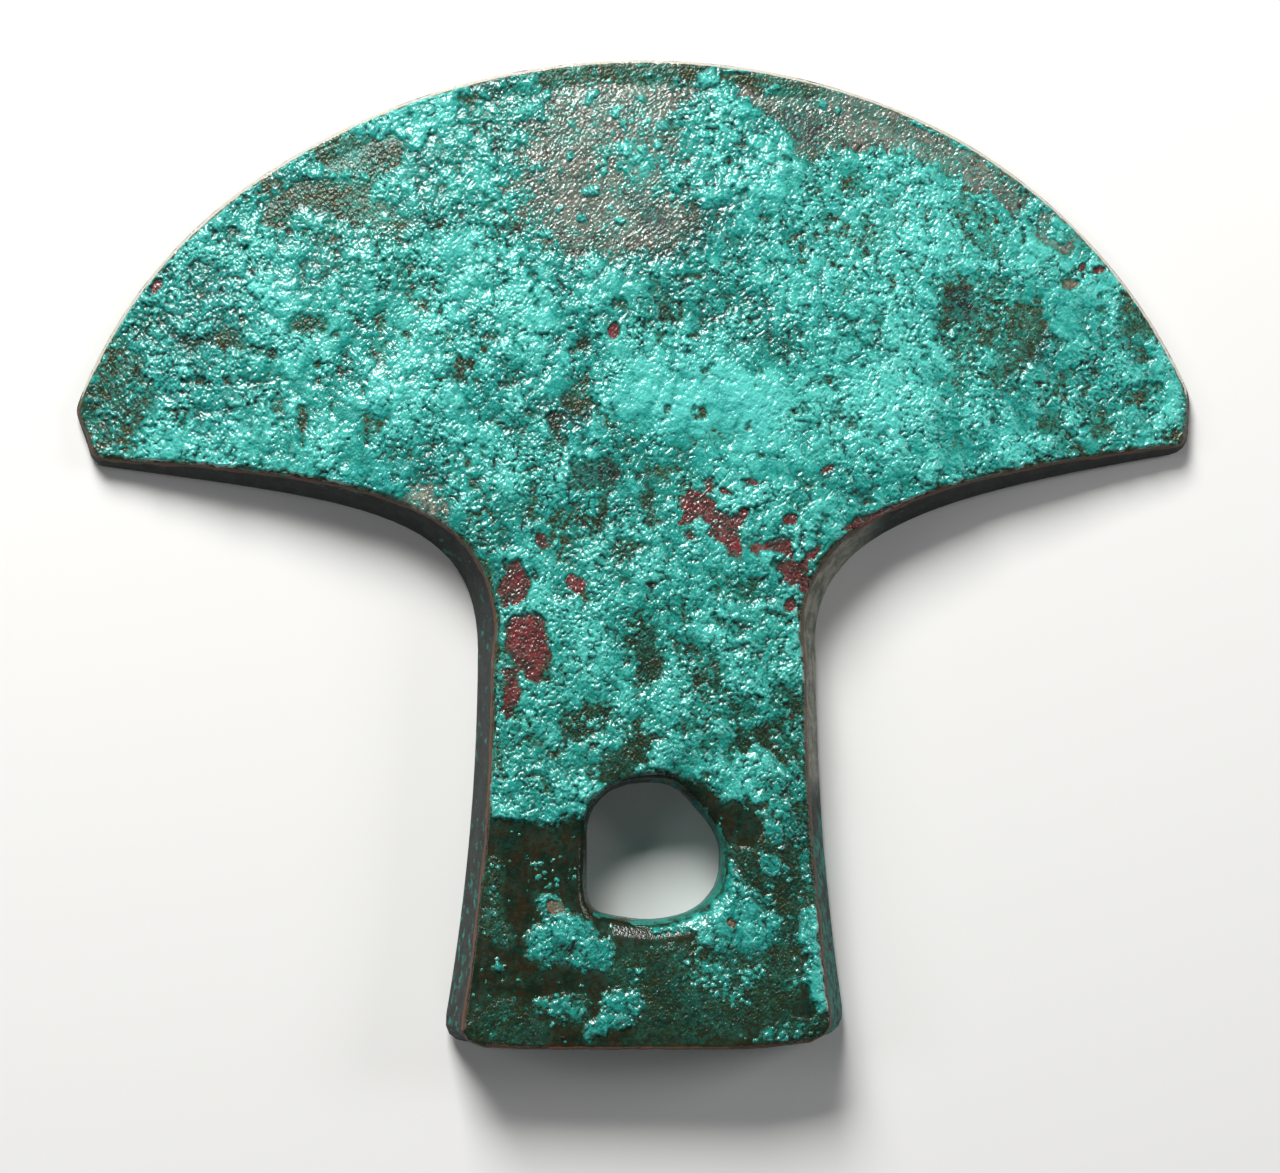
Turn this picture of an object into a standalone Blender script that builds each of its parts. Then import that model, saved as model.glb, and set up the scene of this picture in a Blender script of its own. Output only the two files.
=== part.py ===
"""Ancient copper axe head: a crescent blade on a tang that widens to the butt, with one dished lashing hole.

It lies on its flat back. +Z is the thickness, +Y points to the cutting edge and -Y to the butt, and the
origin is the middle of its plan, on the back. Sizes are in metres and angles in degrees.
"""

import math

import bmesh
import bpy
import numpy as np
from mathutils import Vector
from mathutils.geometry import delaunay_2d_cdt

# Overall plan
HEAD_LENGTH = 0.1315
BLADE_WIDTH = 0.1491

# Cutting edge: a flat middle arc that runs into a tighter arc on each side
EDGE_CROWN_X = 0.0015
EDGE_MIDDLE_RADIUS = 0.0910
LEFT_ARC_START = 36.8
RIGHT_ARC_START = 20.2

# Tips of the crescent, their places measured down from the crown of the edge
TIP_UPPER_TURN = 0.0012
LEFT_TIP_DROP = 0.0474
LEFT_TIP_DEPTH = 0.0072
LEFT_TIP_SLANT = 0.0025
LEFT_TIP_CORNER = 0.0012
RIGHT_TIP_DROP = 0.0451
RIGHT_TIP_DEPTH = 0.0073
RIGHT_TIP_SLANT = 0.0005
RIGHT_TIP_CORNER = 0.0026

# Underside of each wing: one curve from the tip to the waist of the tang
LEFT_UNDERSIDE_SLOPE = 7.7
LEFT_UNDERSIDE_PULL = 0.0358
LEFT_NECK_PULL = 0.0187
RIGHT_UNDERSIDE_SLOPE = 9.5
RIGHT_UNDERSIDE_PULL = 0.0362
RIGHT_NECK_PULL = 0.0144

# Tang: half widths on each side of the origin, and where it is narrowest, measured up from the butt
LEFT_WAIST = 0.0211
LEFT_WAIST_HEIGHT = 0.0524
RIGHT_WAIST = 0.0239
RIGHT_WAIST_HEIGHT = 0.0534
LEFT_BUTT = 0.0258
RIGHT_BUTT = 0.0278
LEFT_BUTT_RISE = 0.0009
RIGHT_BUTT_RISE = 0.0019
BUTT_FLAT_WIDTH = 0.0240
BUTT_CORNER = 0.0034

# Thickness: a wedge that swells quickly behind the edge and evens out in the tang
EDGE_THICKNESS = 0.0021
BODY_THICKNESS = 0.0128
WEDGE_RUN = 0.0560
BACK_BEVEL_RISE = 0.0005
BACK_BEVEL_RUN = 0.0080

# The shallow groove behind the worn lip of the cutting edge
GROOVE_OFFSET = 0.0034
GROOVE_DEPTH = 0.0003
GROOVE_HALF_WIDTH = 0.0016

# The uneven cast face: long low swells
SWELL_HEIGHT = 0.00022
SWELL_LENGTH = 0.0230

# Lashing hole: its corners are shares of its half width and half length, from the middle of the waist
HOLE_X = 0.0022
HOLE_FROM_BUTT = 0.0258
HOLE_WIDTH = 0.0177
HOLE_LENGTH = 0.0184
HOLE_CORNERS = (
    (-1.00, 0.55), (-0.58, 0.95), (0.28, 1.00), (0.98, 0.22),
    (0.98, -0.44), (0.62, -0.84), (-0.02, -1.00), (-1.00, -0.86),
)
HOLE_CORNER_ROUND = 0.0030
FRONT_LIP_WIDTH = 0.0030
FRONT_LIP_DEPTH = 0.0034
FRONT_LIP_SHIFT = (0.0010, -0.0009)
BACK_LIP_WIDTH = 0.0018
BACK_LIP_DEPTH = 0.0024

# Sides: the drafts in front of and behind the widest line, that line's place and the flat land along it
# as shares of the thickness, and how broad the shoulder is where the front rolls over to the side
EDGE_SIDE = {"front_draft": 34.0, "back_draft": 28.0, "widest_at": 0.42, "land": 0.10, "shoulder": 0.0011}
TIP_SIDE = {"front_draft": 16.0, "back_draft": 20.0, "widest_at": 0.22, "land": 0.10, "shoulder": 0.0009}
WING_SIDE = {"front_draft": 20.0, "back_draft": 30.0, "widest_at": 0.16, "land": 0.06, "shoulder": 0.0014}
TANG_SIDE = {"front_draft": 14.7, "back_draft": 30.0, "widest_at": 0.16, "land": 0.06, "shoulder": 0.0017}
BUTT_SIDE = {"front_draft": 0.0, "back_draft": 30.0, "widest_at": 0.12, "land": 0.04, "shoulder": 0.0014}
ARRIS_ROUND = 0.0005
SHOULDER_DROP_SHARE = 0.035

# How closely the curves are followed
OUTLINE_STEP = 0.0026
FRONT_STEP = 0.0030
BACK_STEP = 0.0100
SMALL_TURN = 4
HOLE_POINTS_PER_CORNER = 5
HOLE_POINTS_PER_SIDE = 2

CROWN_Y = HEAD_LENGTH / 2
BUTT_Y = -HEAD_LENGTH / 2


def spread(length, step):
    """How many equal steps, at least two, this length takes."""
    return max(2, round(length / step))


def edge_side_arc(side, start_angle, tip):
    """The arc that leaves the middle arc at start_angle and ends at the tip, and its half of the middle arc."""
    middle = np.array([EDGE_CROWN_X, CROWN_Y - EDGE_MIDDLE_RADIUS])
    turn = math.radians(start_angle)
    outward = np.array([side * math.sin(turn), math.cos(turn)])
    start = middle + EDGE_MIDDLE_RADIUS * outward
    chord = tip - start
    radius = chord @ chord / (-2 * chord @ outward)
    centre = start - radius * outward
    tip_angle = math.atan2(side * (tip[0] - centre[0]), tip[1] - centre[1])
    steps = spread(radius * (tip_angle - turn), OUTLINE_STEP)
    angles = np.linspace(tip_angle, turn, steps + 1)
    outer = centre + radius * np.column_stack([side * np.sin(angles), np.cos(angles)])
    steps = spread(EDGE_MIDDLE_RADIUS * turn, OUTLINE_STEP)
    angles = np.linspace(turn, 0, steps + 1)
    inner = middle + EDGE_MIDDLE_RADIUS * np.column_stack([side * np.sin(angles), np.cos(angles)])
    return np.vstack([outer, inner[1:]])


def cubic(start, start_pull, end_pull, end):
    """A cubic curve between two points, leaving along start_pull and arriving from end_pull."""
    steps = spread(np.hypot(*(end - start)) * 1.15, OUTLINE_STEP)
    t = np.linspace(0, 1, steps + 1)[:, None]
    near, far = start + start_pull, end + end_pull
    return start * (1 - t) ** 3 + 3 * near * t * (1 - t) ** 2 + 3 * far * t**2 * (1 - t) + end * t**3


def flare(waist, butt):
    """The side of the tang: an arc that is upright at the waist and ends at the butt's corner."""
    steps = spread(waist[1] - butt[1], OUTLINE_STEP)
    down = np.linspace(0, 1, steps + 1)
    return np.column_stack([waist[0] + (butt[0] - waist[0]) * down**2, waist[1] + (butt[1] - waist[1]) * down])


def bow(corner, flat_end):
    """The end of the butt beside its flat: an arc that leaves the flat level and rises to the corner."""
    steps = spread(abs(corner[0] - flat_end[0]), OUTLINE_STEP)
    out = np.linspace(1, 0, steps + 1)
    rise, run = corner[1] - flat_end[1], corner[0] - flat_end[0]
    return np.column_stack([flat_end[0] + run * out, flat_end[1] + rise * out**2])


def shortened(path, cut):
    """The path without its last stretch of this length."""
    along = np.r_[0, np.cumsum(np.hypot(*np.diff(path, axis=0).T))]
    stop = max(along[-1] - cut, 0.3 * along[-1])
    end = [np.interp(stop, along, path[:, 0]), np.interp(stop, along, path[:, 1])]
    return np.vstack([path[along < stop - 0.3 * OUTLINE_STEP], end])


def rounded_turn(before, after, cut):
    """Both paths cut back from the corner where they meet, and the points of the round turn between them."""
    corner = after[0]
    before = shortened(before, cut)
    after = shortened(after[::-1], cut)[::-1]
    t = (np.arange(1, SMALL_TURN) / SMALL_TURN)[:, None]
    turn = before[-1] * (1 - t) ** 2 + 2 * corner * t * (1 - t) + after[0] * t**2
    return before, turn, after


def half_outline(side, tip_drop, tip_depth, tip_slant, tip_corner, arc_start, slope, pull, neck_pull, waist, butt):
    """One half of the plan, from the crown of the edge to the butt's flat, as (path, side form) stretches."""
    tip = np.array([side * BLADE_WIDTH / 2, CROWN_Y - tip_drop])
    low_tip = tip + [-side * tip_slant, -tip_depth]
    waist_point = np.array([side * waist[0], BUTT_Y + waist[1]])
    corner = np.array([side * butt[0], BUTT_Y + butt[1]])
    flat_end = np.array([side * BUTT_FLAT_WIDTH / 2, BUTT_Y])
    angle = math.radians(slope)
    underside_pull = pull * np.array([-side * math.cos(angle), -math.sin(angle)])

    edge = edge_side_arc(side, arc_start, tip)[::-1]
    tip_end = np.linspace(tip, low_tip, spread(tip_depth, OUTLINE_STEP) + 1)
    underside = cubic(low_tip, underside_pull, np.array([0, neck_pull]), waist_point)
    tang = flare(waist_point, corner)
    butt_end = bow(corner, flat_end)

    edge, upper_turn, tip_end = rounded_turn(edge, tip_end, TIP_UPPER_TURN)
    tip_end, lower_turn, underside = rounded_turn(tip_end, underside, tip_corner)
    tang, butt_turn, butt_end = rounded_turn(tang, butt_end, BUTT_CORNER)
    return [
        (edge, EDGE_SIDE),
        (upper_turn, TIP_SIDE),
        (tip_end, TIP_SIDE),
        (lower_turn, TIP_SIDE),
        (underside[:-1], WING_SIDE),
        (tang, TANG_SIDE),
        (butt_turn, TANG_SIDE),
        (butt_end, BUTT_SIDE),
    ]


def plan_outline():
    """The widest line of the casting, anticlockwise from the crown, and the side form at each point."""
    left = half_outline(
        -1, LEFT_TIP_DROP, LEFT_TIP_DEPTH, LEFT_TIP_SLANT, LEFT_TIP_CORNER, LEFT_ARC_START,
        LEFT_UNDERSIDE_SLOPE, LEFT_UNDERSIDE_PULL, LEFT_NECK_PULL,
        (LEFT_WAIST, LEFT_WAIST_HEIGHT), (LEFT_BUTT, LEFT_BUTT_RISE),
    )
    right = half_outline(
        1, RIGHT_TIP_DROP, RIGHT_TIP_DEPTH, RIGHT_TIP_SLANT, RIGHT_TIP_CORNER, RIGHT_ARC_START,
        RIGHT_UNDERSIDE_SLOPE, RIGHT_UNDERSIDE_PULL, RIGHT_NECK_PULL,
        (RIGHT_WAIST, RIGHT_WAIST_HEIGHT), (RIGHT_BUTT, RIGHT_BUTT_RISE),
    )
    points = np.vstack([path for path, _ in left] + [path[::-1] for path, _ in right[::-1]])
    forms = np.vstack([np.tile(list(form.values()), (len(path), 1)) for path, form in left + right[::-1]])
    forms = np.column_stack([np.tan(np.radians(forms[:, :2])), forms[:, 2:]])
    apart = np.hypot(*(points - np.roll(points, -1, axis=0)).T) > 0.2 * OUTLINE_STEP
    points, forms = points[apart], forms[apart]
    for _ in range(2):
        forms = (np.roll(forms, 1, axis=0) + 2 * forms + np.roll(forms, -1, axis=0)) / 4
    return points, forms


def outward(points):
    """The outward direction at each point of an anticlockwise loop."""
    along = np.roll(points, -1, axis=0) - np.roll(points, 1, axis=0)
    normals = np.column_stack([along[:, 1], -along[:, 0]])
    return normals / np.hypot(*normals.T)[:, None]


def moved_in(points, normals, inset):
    """The loop moved inwards, with the points evened out wherever a tight corner would fold it over."""
    run = np.roll(points, -1, axis=0) - points
    moved = points - normals * np.broadcast_to(inset, len(points))[:, None]
    for _ in range(60):
        new_run = np.roll(moved, -1, axis=0) - moved
        folded = (new_run * run).sum(1) < 0.15 * (run**2).sum(1)
        if not folded.any():
            break
        near = folded | np.roll(folded, 1)
        between = (np.roll(moved, 1, axis=0) + np.roll(moved, -1, axis=0)) / 2
        moved[near] = (moved[near] + between[near]) / 2
    return moved


def edge_line():
    """The cutting edge alone, from the left tip to the right tip."""
    left_tip = np.array([-BLADE_WIDTH / 2, CROWN_Y - LEFT_TIP_DROP])
    right_tip = np.array([BLADE_WIDTH / 2, CROWN_Y - RIGHT_TIP_DROP])
    left = edge_side_arc(-1, LEFT_ARC_START, left_tip)
    right = edge_side_arc(1, RIGHT_ARC_START, right_tip)
    return np.vstack([left, right[-2::-1]])


def distance_to_line(points, line):
    """The shortest distance from each point to an open line of straight pieces."""
    start, run = line[:-1], np.diff(line, axis=0)
    offset = points[:, None] - start[None]
    share = ((offset * run).sum(2) / (run**2).sum(1)).clip(0, 1)
    return np.hypot(*(offset - share[:, :, None] * run).transpose(2, 0, 1)).min(1)


def swell(points):
    """The long low swells of the cast face, about zero."""
    x, y = (2 * math.pi * points / SWELL_LENGTH).T
    waves = np.sin(x + 1.3) * np.cos(0.8 * y) + np.sin(0.6 * x - 1.1 * y) + 0.7 * np.cos(1.4 * x + 0.7 * y + 2.0)
    return SWELL_HEIGHT * waves / 1.6


def front_height(points, line):
    """The height of the front face over the back's plane."""
    depth = distance_to_line(points, line)
    wedge = EDGE_THICKNESS + (BODY_THICKNESS - EDGE_THICKNESS) * (1 - np.exp(-depth / WEDGE_RUN))
    groove = GROOVE_DEPTH * np.exp(-(((depth - GROOVE_OFFSET) / GROOVE_HALF_WIDTH) ** 2))
    fade = (depth / (4 * GROOVE_OFFSET)).clip(0, 1)
    return wedge - groove + fade * swell(points)


def back_height(points, line):
    """The height of the back, flat but for the bevel behind the cutting edge."""
    depth = distance_to_line(points, line)
    return BACK_BEVEL_RISE * (1 - depth / BACK_BEVEL_RUN).clip(0, 1) ** 2


def hole_outline():
    """The narrowest line of the lashing hole, anticlockwise."""
    centre = np.array([HOLE_X, BUTT_Y + HOLE_FROM_BUTT])
    corners = np.array(HOLE_CORNERS)[::-1] * [HOLE_WIDTH / 2, HOLE_LENGTH / 2]
    loop = []
    for before, corner, after in zip(np.roll(corners, 1, axis=0), corners, np.roll(corners, -1, axis=0)):
        towards = before - corner
        onwards = after - corner
        start = corner + towards * min(0.42, HOLE_CORNER_ROUND / np.hypot(*towards))
        end = corner + onwards * min(0.42, HOLE_CORNER_ROUND / np.hypot(*onwards))
        t = np.linspace(0, 1, HOLE_POINTS_PER_CORNER)[:, None]
        loop.append(start * (1 - t) ** 2 + 2 * corner * t * (1 - t) + end * t**2)
        next_start = after - onwards * min(0.42, HOLE_CORNER_ROUND / np.hypot(*onwards))
        s = (np.arange(1, HOLE_POINTS_PER_SIDE + 1) / (HOLE_POINTS_PER_SIDE + 1))[:, None]
        loop.append(end * (1 - s) + next_start * s)
    return centre + np.vstack(loop)


def inside(points, loop):
    """Which of the points lie inside a closed loop."""
    x, y = points.T
    crossings = np.zeros(len(points), int)
    for (x0, y0), (x1, y1) in zip(loop, np.roll(loop, -1, axis=0)):
        if y0 == y1:
            continue
        spans = (y0 > y) != (y1 > y)
        crossings += spans & (x < x0 + (y - y0) * (x1 - x0) / (y1 - y0))
    return crossings % 2 == 1


def grid_inside(loop, hole, rows, step, clearance):
    """Evenly spaced points inside the loop and outside the hole, this clear of every line."""
    low, high = loop.min(0), loop.max(0)
    found = []
    for row, y in enumerate(np.arange(low[1], high[1], step * math.sqrt(3) / 2)):
        xs = np.arange(low[0] + (row % 2) * step / 2, high[0], step)
        found.append(np.column_stack([xs, np.full(len(xs), y)]))
    points = np.vstack(found)
    points = points[inside(points, loop) & ~inside(points, hole)]
    for line in [np.vstack([loop, loop[:1]]), np.vstack([hole, hole[:1]]), *rows]:
        points = points[distance_to_line(points, line) > clearance]
    return points


def rows_behind_edge(line, loop, offsets, clearance):
    """Lines that follow the cutting edge at these distances behind it, as far as they stay inside the loop."""
    closed = np.vstack([loop, loop[:1]])
    along = np.gradient(line, axis=0)
    inward = np.column_stack([along[:, 1], -along[:, 0]]) / np.hypot(*along.T)[:, None]
    rows = []
    for offset in offsets:
        row = line + inward * offset
        rows.append(row[inside(row, loop) & (distance_to_line(row, closed) > clearance)])
    return rows


def triangulated(loop, hole, rows, extra):
    """Triangles between the loop and the hole that keep every line, and their points, loop and hole first."""
    points = np.vstack([loop, hole, *rows, extra])
    lines, start = [], 0
    for ring in (loop, hole):
        count = len(ring)
        lines += [(start + i, start + (i + 1) % count) for i in range(count)]
        start += count
    for row in rows:
        lines += [(start + i, start + i + 1) for i in range(len(row) - 1)]
        start += len(row)
    # The triangulation works in millimetres, far above its own rounding.
    flat = [Vector((x, y)) for x, y in points * 1000]
    made, _, faces, origin, _, _ = delaunay_2d_cdt(flat, lines, [], 0, 1e-6)
    number = [first[0] for first in origin]
    faces = np.array([[number[corner] for corner in face] for face in faces])
    middles = points[faces].mean(1)
    kept = inside(middles, loop) & ~inside(middles, hole)
    return points, faces[kept]


def add_loop(bm, points, heights):
    """One vertex for each point, at its height."""
    heights = np.broadcast_to(heights, len(points))
    return [bm.verts.new((x, y, z)) for (x, y), z in zip(points, heights)]


def bridge(bm, left, right):
    """A band of faces between two loops, which run on with the first on the left as seen from outside."""
    count = len(left)
    for i in range(count):
        j = (i + 1) % count
        bm.faces.new((left[i], right[i], right[j], left[j]))


def add_face_sheet(bm, loop_verts, hole_verts, loop, hole, rows, extra, heights, upward):
    """The triangles of the front or the back between its outer loop and its hole loop."""
    points, faces = triangulated(loop, hole, rows, extra)
    given = len(loop) + len(hole)
    verts = loop_verts + hole_verts + add_loop(bm, points[given:], heights(points[given:]))
    for a, b, c in faces:
        bm.faces.new((verts[a], verts[b], verts[c]) if upward else (verts[c], verts[b], verts[a]))


def hole_lip(waist, width, shift, steps):
    """Loops from the waist of the hole out to the edge of its dish, as (loop, share of the depth) pairs."""
    normals = outward(waist)
    for turn in np.linspace(0, math.pi / 2, steps + 1):
        grown = 1 - math.cos(turn)
        yield waist + normals * width * grown + np.array(shift) * grown, math.sin(turn)


def build_form():
    """The whole closed form of the axe head in one bmesh."""
    bm = bmesh.new()
    line = edge_line()
    outline, forms = plan_outline()
    normals = outward(outline)
    front_draft, back_draft, widest_at, land, shoulder_width = forms.T

    front = front_height(outline, line)
    back = back_height(outline, line)
    widest_top = back + (widest_at + land / 2) * (front - back)
    widest_low = back + (widest_at - land / 2) * (front - back)
    front_inset = (front - widest_top) * front_draft
    back_inset = (widest_low - back) * back_draft

    # The front's arris is lowered a little, and a shoulder loop inside it reaches the full height.
    front_turn = np.minimum(ARRIS_ROUND, 0.3 * (front - widest_top))
    shoulder = moved_in(outline, normals, front_inset + shoulder_width)
    front_arris = moved_in(outline, normals, front_inset + 0.5 * front_turn)
    arris_height = front_height(front_arris, line) * (1 - SHOULDER_DROP_SHARE)
    front_round = moved_in(outline, normals, np.maximum(front_inset - 0.3 * front_turn, 0))
    back_turn = np.minimum(ARRIS_ROUND, 0.3 * (widest_low - back))
    back_round = moved_in(outline, normals, np.maximum(back_inset - 0.3 * back_turn, 0))
    back_flat = moved_in(outline, normals, back_inset + 0.7 * back_turn)

    loops = [
        add_loop(bm, shoulder, front_height(shoulder, line)),
        add_loop(bm, front_arris, arris_height),
        add_loop(bm, front_round, arris_height - front_turn),
        add_loop(bm, outline, widest_top),
        add_loop(bm, outline, widest_low),
        add_loop(bm, back_round, back + back_turn),
        add_loop(bm, back_flat, back_height(back_flat, line)),
    ]
    for upper, lower in zip(loops, loops[1:]):
        bridge(bm, upper, lower)

    waist = hole_outline()
    front_loops, front_rings = [], []
    for ring, share in hole_lip(waist, FRONT_LIP_WIDTH, FRONT_LIP_SHIFT, 4):
        surface = front_height(ring, line)
        depth = np.minimum(FRONT_LIP_DEPTH, 0.45 * surface)
        front_rings.append(ring)
        front_loops.append(add_loop(bm, ring, surface - depth * (1 - share)))
    back_loops, back_rings = [], []
    for ring, share in hole_lip(waist, BACK_LIP_WIDTH, (0, 0), 3):
        back_rings.append(ring)
        back_loops.append(add_loop(bm, ring, BACK_LIP_DEPTH * (1 - share)))
    for inner, outer in zip(front_loops, front_loops[1:]):
        bridge(bm, inner, outer)
    for inner, outer in zip(back_loops, back_loops[1:]):
        bridge(bm, outer, inner)
    bridge(bm, back_loops[0], front_loops[0])

    front_rows = rows_behind_edge(
        line, shoulder, (GROOVE_OFFSET, GROOVE_OFFSET + GROOVE_HALF_WIDTH, 2.4 * GROOVE_OFFSET), 0.4 * FRONT_STEP
    )
    front_extra = grid_inside(shoulder, front_rings[-1], front_rows, FRONT_STEP, 0.55 * FRONT_STEP)
    add_face_sheet(
        bm, loops[0], front_loops[-1], shoulder, front_rings[-1], front_rows, front_extra,
        lambda points: front_height(points, line), upward=True,
    )
    back_rows = rows_behind_edge(line, back_flat, (0.5 * BACK_BEVEL_RUN, BACK_BEVEL_RUN), 0.6 * OUTLINE_STEP)
    back_extra = grid_inside(back_flat, back_rings[-1], back_rows, BACK_STEP, 0.5 * BACK_STEP)
    add_face_sheet(
        bm, loops[-1], back_loops[-1], back_flat, back_rings[-1], back_rows, back_extra,
        lambda points: back_height(points, line), upward=False,
    )
    return bm


def cast_copper():
    """Copper under a thick green corrosion crust."""
    material = bpy.data.materials.new("corroded_copper")
    material.use_nodes = True
    shader = material.node_tree.nodes["Principled BSDF"]
    shader.inputs["Base Color"].default_value = (0.055, 0.36, 0.27, 1.0)
    shader.inputs["Roughness"].default_value = 0.45
    shader.inputs["Metallic"].default_value = 0.1
    return material


def main():
    for old in list(bpy.data.objects):
        bpy.data.objects.remove(old, do_unlink=True)

    form = build_form()
    mesh = bpy.data.meshes.new("axe_head")
    form.to_mesh(mesh)
    form.free()
    mesh.materials.append(cast_copper())
    mesh.shade_smooth()
    mesh.set_sharp_from_angle(angle=math.radians(28))
    axe_head = bpy.data.objects.new("axe_head", mesh)
    bpy.context.scene.collection.objects.link(axe_head)


main()
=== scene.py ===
import math

import bmesh
import bpy
import numpy as np
from mathutils import Matrix, Vector
from mathutils.bvhtree import BVHTree
from mathutils.kdtree import KDTree


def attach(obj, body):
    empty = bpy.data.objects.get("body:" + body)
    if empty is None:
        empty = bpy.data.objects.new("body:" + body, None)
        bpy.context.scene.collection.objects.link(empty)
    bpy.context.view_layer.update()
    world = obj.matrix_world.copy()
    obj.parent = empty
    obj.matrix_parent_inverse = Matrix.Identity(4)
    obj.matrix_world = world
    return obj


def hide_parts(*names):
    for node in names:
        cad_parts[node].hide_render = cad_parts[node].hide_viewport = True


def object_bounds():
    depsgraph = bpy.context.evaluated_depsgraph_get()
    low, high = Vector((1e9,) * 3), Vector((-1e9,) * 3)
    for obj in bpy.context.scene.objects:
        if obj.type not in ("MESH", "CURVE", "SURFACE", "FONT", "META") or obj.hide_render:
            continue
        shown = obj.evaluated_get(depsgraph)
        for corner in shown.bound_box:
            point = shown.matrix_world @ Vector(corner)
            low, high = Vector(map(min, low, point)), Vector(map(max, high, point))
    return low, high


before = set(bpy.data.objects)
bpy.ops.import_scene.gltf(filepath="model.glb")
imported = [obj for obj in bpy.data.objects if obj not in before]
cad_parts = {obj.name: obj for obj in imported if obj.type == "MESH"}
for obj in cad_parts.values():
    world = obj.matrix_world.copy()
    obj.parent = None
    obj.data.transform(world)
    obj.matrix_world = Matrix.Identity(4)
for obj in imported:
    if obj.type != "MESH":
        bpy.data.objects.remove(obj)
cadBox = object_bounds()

# Ancient copper axe head under a green corrosion crust. The metal body keeps the cast form, and the crust
# lies on its front in sheets of their own. Plan sizes and heights below are in millimetres.

photoView = {
    "lens": 120.0,
    "sensorWidth": 36.0,
    "eye": (-24.18, -28.62, 568.4),
    "lookAt": (0.22, -5.12, 8.0),
    "pictureSize": (1280, 1173),
}
pixelSize = 1 / 7.6
boxLow, boxHigh = [np.array(corner) * 1000 for corner in cadBox]

# Whole numbers that turn a grid place and a seed into a steady random value.
hashing = {"column": 374761393, "row": 668265263, "seed": 1442695041, "mix": 1274126177}


def steadyRandom(column, row, seed):
    mixed = column.astype(np.int64) * hashing["column"] + row.astype(np.int64) * hashing["row"]
    mixed = (mixed + seed * hashing["seed"]) & 0xFFFFFFFF
    mixed = ((mixed ^ (mixed >> 13)) * hashing["mix"]) & 0xFFFFFFFF
    return ((mixed ^ (mixed >> 16)) & 0xFFFFFF) / 0xFFFFFF


def betweenCorners(corner, u, v):
    near = corner(0, 0) * (1 - u) + corner(0, 1) * u
    far = corner(1, 0) * (1 - u) + corner(1, 1) * u
    return near * (1 - v) + far * v


def swells(x, y, size, seed):
    u, v = x / size, y / size
    column, row = np.floor(u), np.floor(v)
    u, v = u - column, v - row
    u, v = u * u * (3 - 2 * u), v * v * (3 - 2 * v)
    return 2 * betweenCorners(lambda down, across: steadyRandom(column + across, row + down, seed), u, v) - 1


def roughness(x, y, size, seed, layers=3):
    # swells on swells, each layer half the size of the one before
    total = np.zeros(len(x))
    share = 1.0
    for layer in range(layers):
        total += share * swells(x + 17.3 * layer, y - 9.1 * layer, size, seed + 31 * layer)
        size, share = size * 0.5, share * 0.55
    return total / 1.6


def domes(x, y, size, seed, crowding=0.85):
    # round lumps that stand shoulder to shoulder, from 0 in the creases to 1 on the tallest
    u, v = x / size, y / size
    column, row = np.floor(u), np.floor(v)
    height = np.zeros(len(x))
    for across in (-1, 0, 1):
        for along in (-1, 0, 1):
            c, r = column + across, row + along
            drawn = [steadyRandom(c, r, seed + n) for n in range(4)]
            midU, midV = c + 0.1 + 0.8 * drawn[0], r + 0.1 + 0.8 * drawn[1]
            reach, tall = crowding * (0.55 + 0.6 * drawn[2]), 0.45 + 0.55 * drawn[3]
            height = np.maximum(height, tall * (1 - ((u - midU) ** 2 + (v - midV) ** 2) / reach**2))
    return height


def softStep(low, high, value):
    share = np.clip((value - low) / (high - low), 0, 1)
    return share * share * (3 - 2 * share)


# The front face of the casting, read from above on a grid.
frontScan = {
    "step": 0.5,          # between the rays
    "margin": 3.0,        # round the plan
    "steepest": 0.45,     # faces that lean more than this belong to the sides and the hole
    "rimStep": 0.2,       # between the spots along the rim
    "weld": 1e-6,
}


def weldedCopy(node):
    form = bmesh.new()
    form.from_mesh(node.data)
    bmesh.ops.remove_doubles(form, verts=form.verts, dist=frontScan["weld"])
    return form


def rimSpots(node):
    # spots along the edges between the front and whatever is steeper
    form = weldedCopy(node)
    spots = []
    for edge in form.edges:
        leans = sorted(face.normal.z for face in edge.link_faces)
        if leans[0] <= frontScan["steepest"] < leans[-1]:
            start, end = [np.array(v.co) * 1000 for v in edge.verts]
            length = max(np.linalg.norm(end - start), 2 * frontScan["rimStep"])
            for share in np.arange(0, 1, frontScan["rimStep"] / length):
                spots.append(start * (1 - share) + end * share)
    form.free()
    return spots


def nearestTree(spots):
    tree = KDTree(len(spots))
    for n, spot in enumerate(spots):
        tree.insert((spot[0], spot[1], 0), n)
    tree.balance()
    return tree


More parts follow.
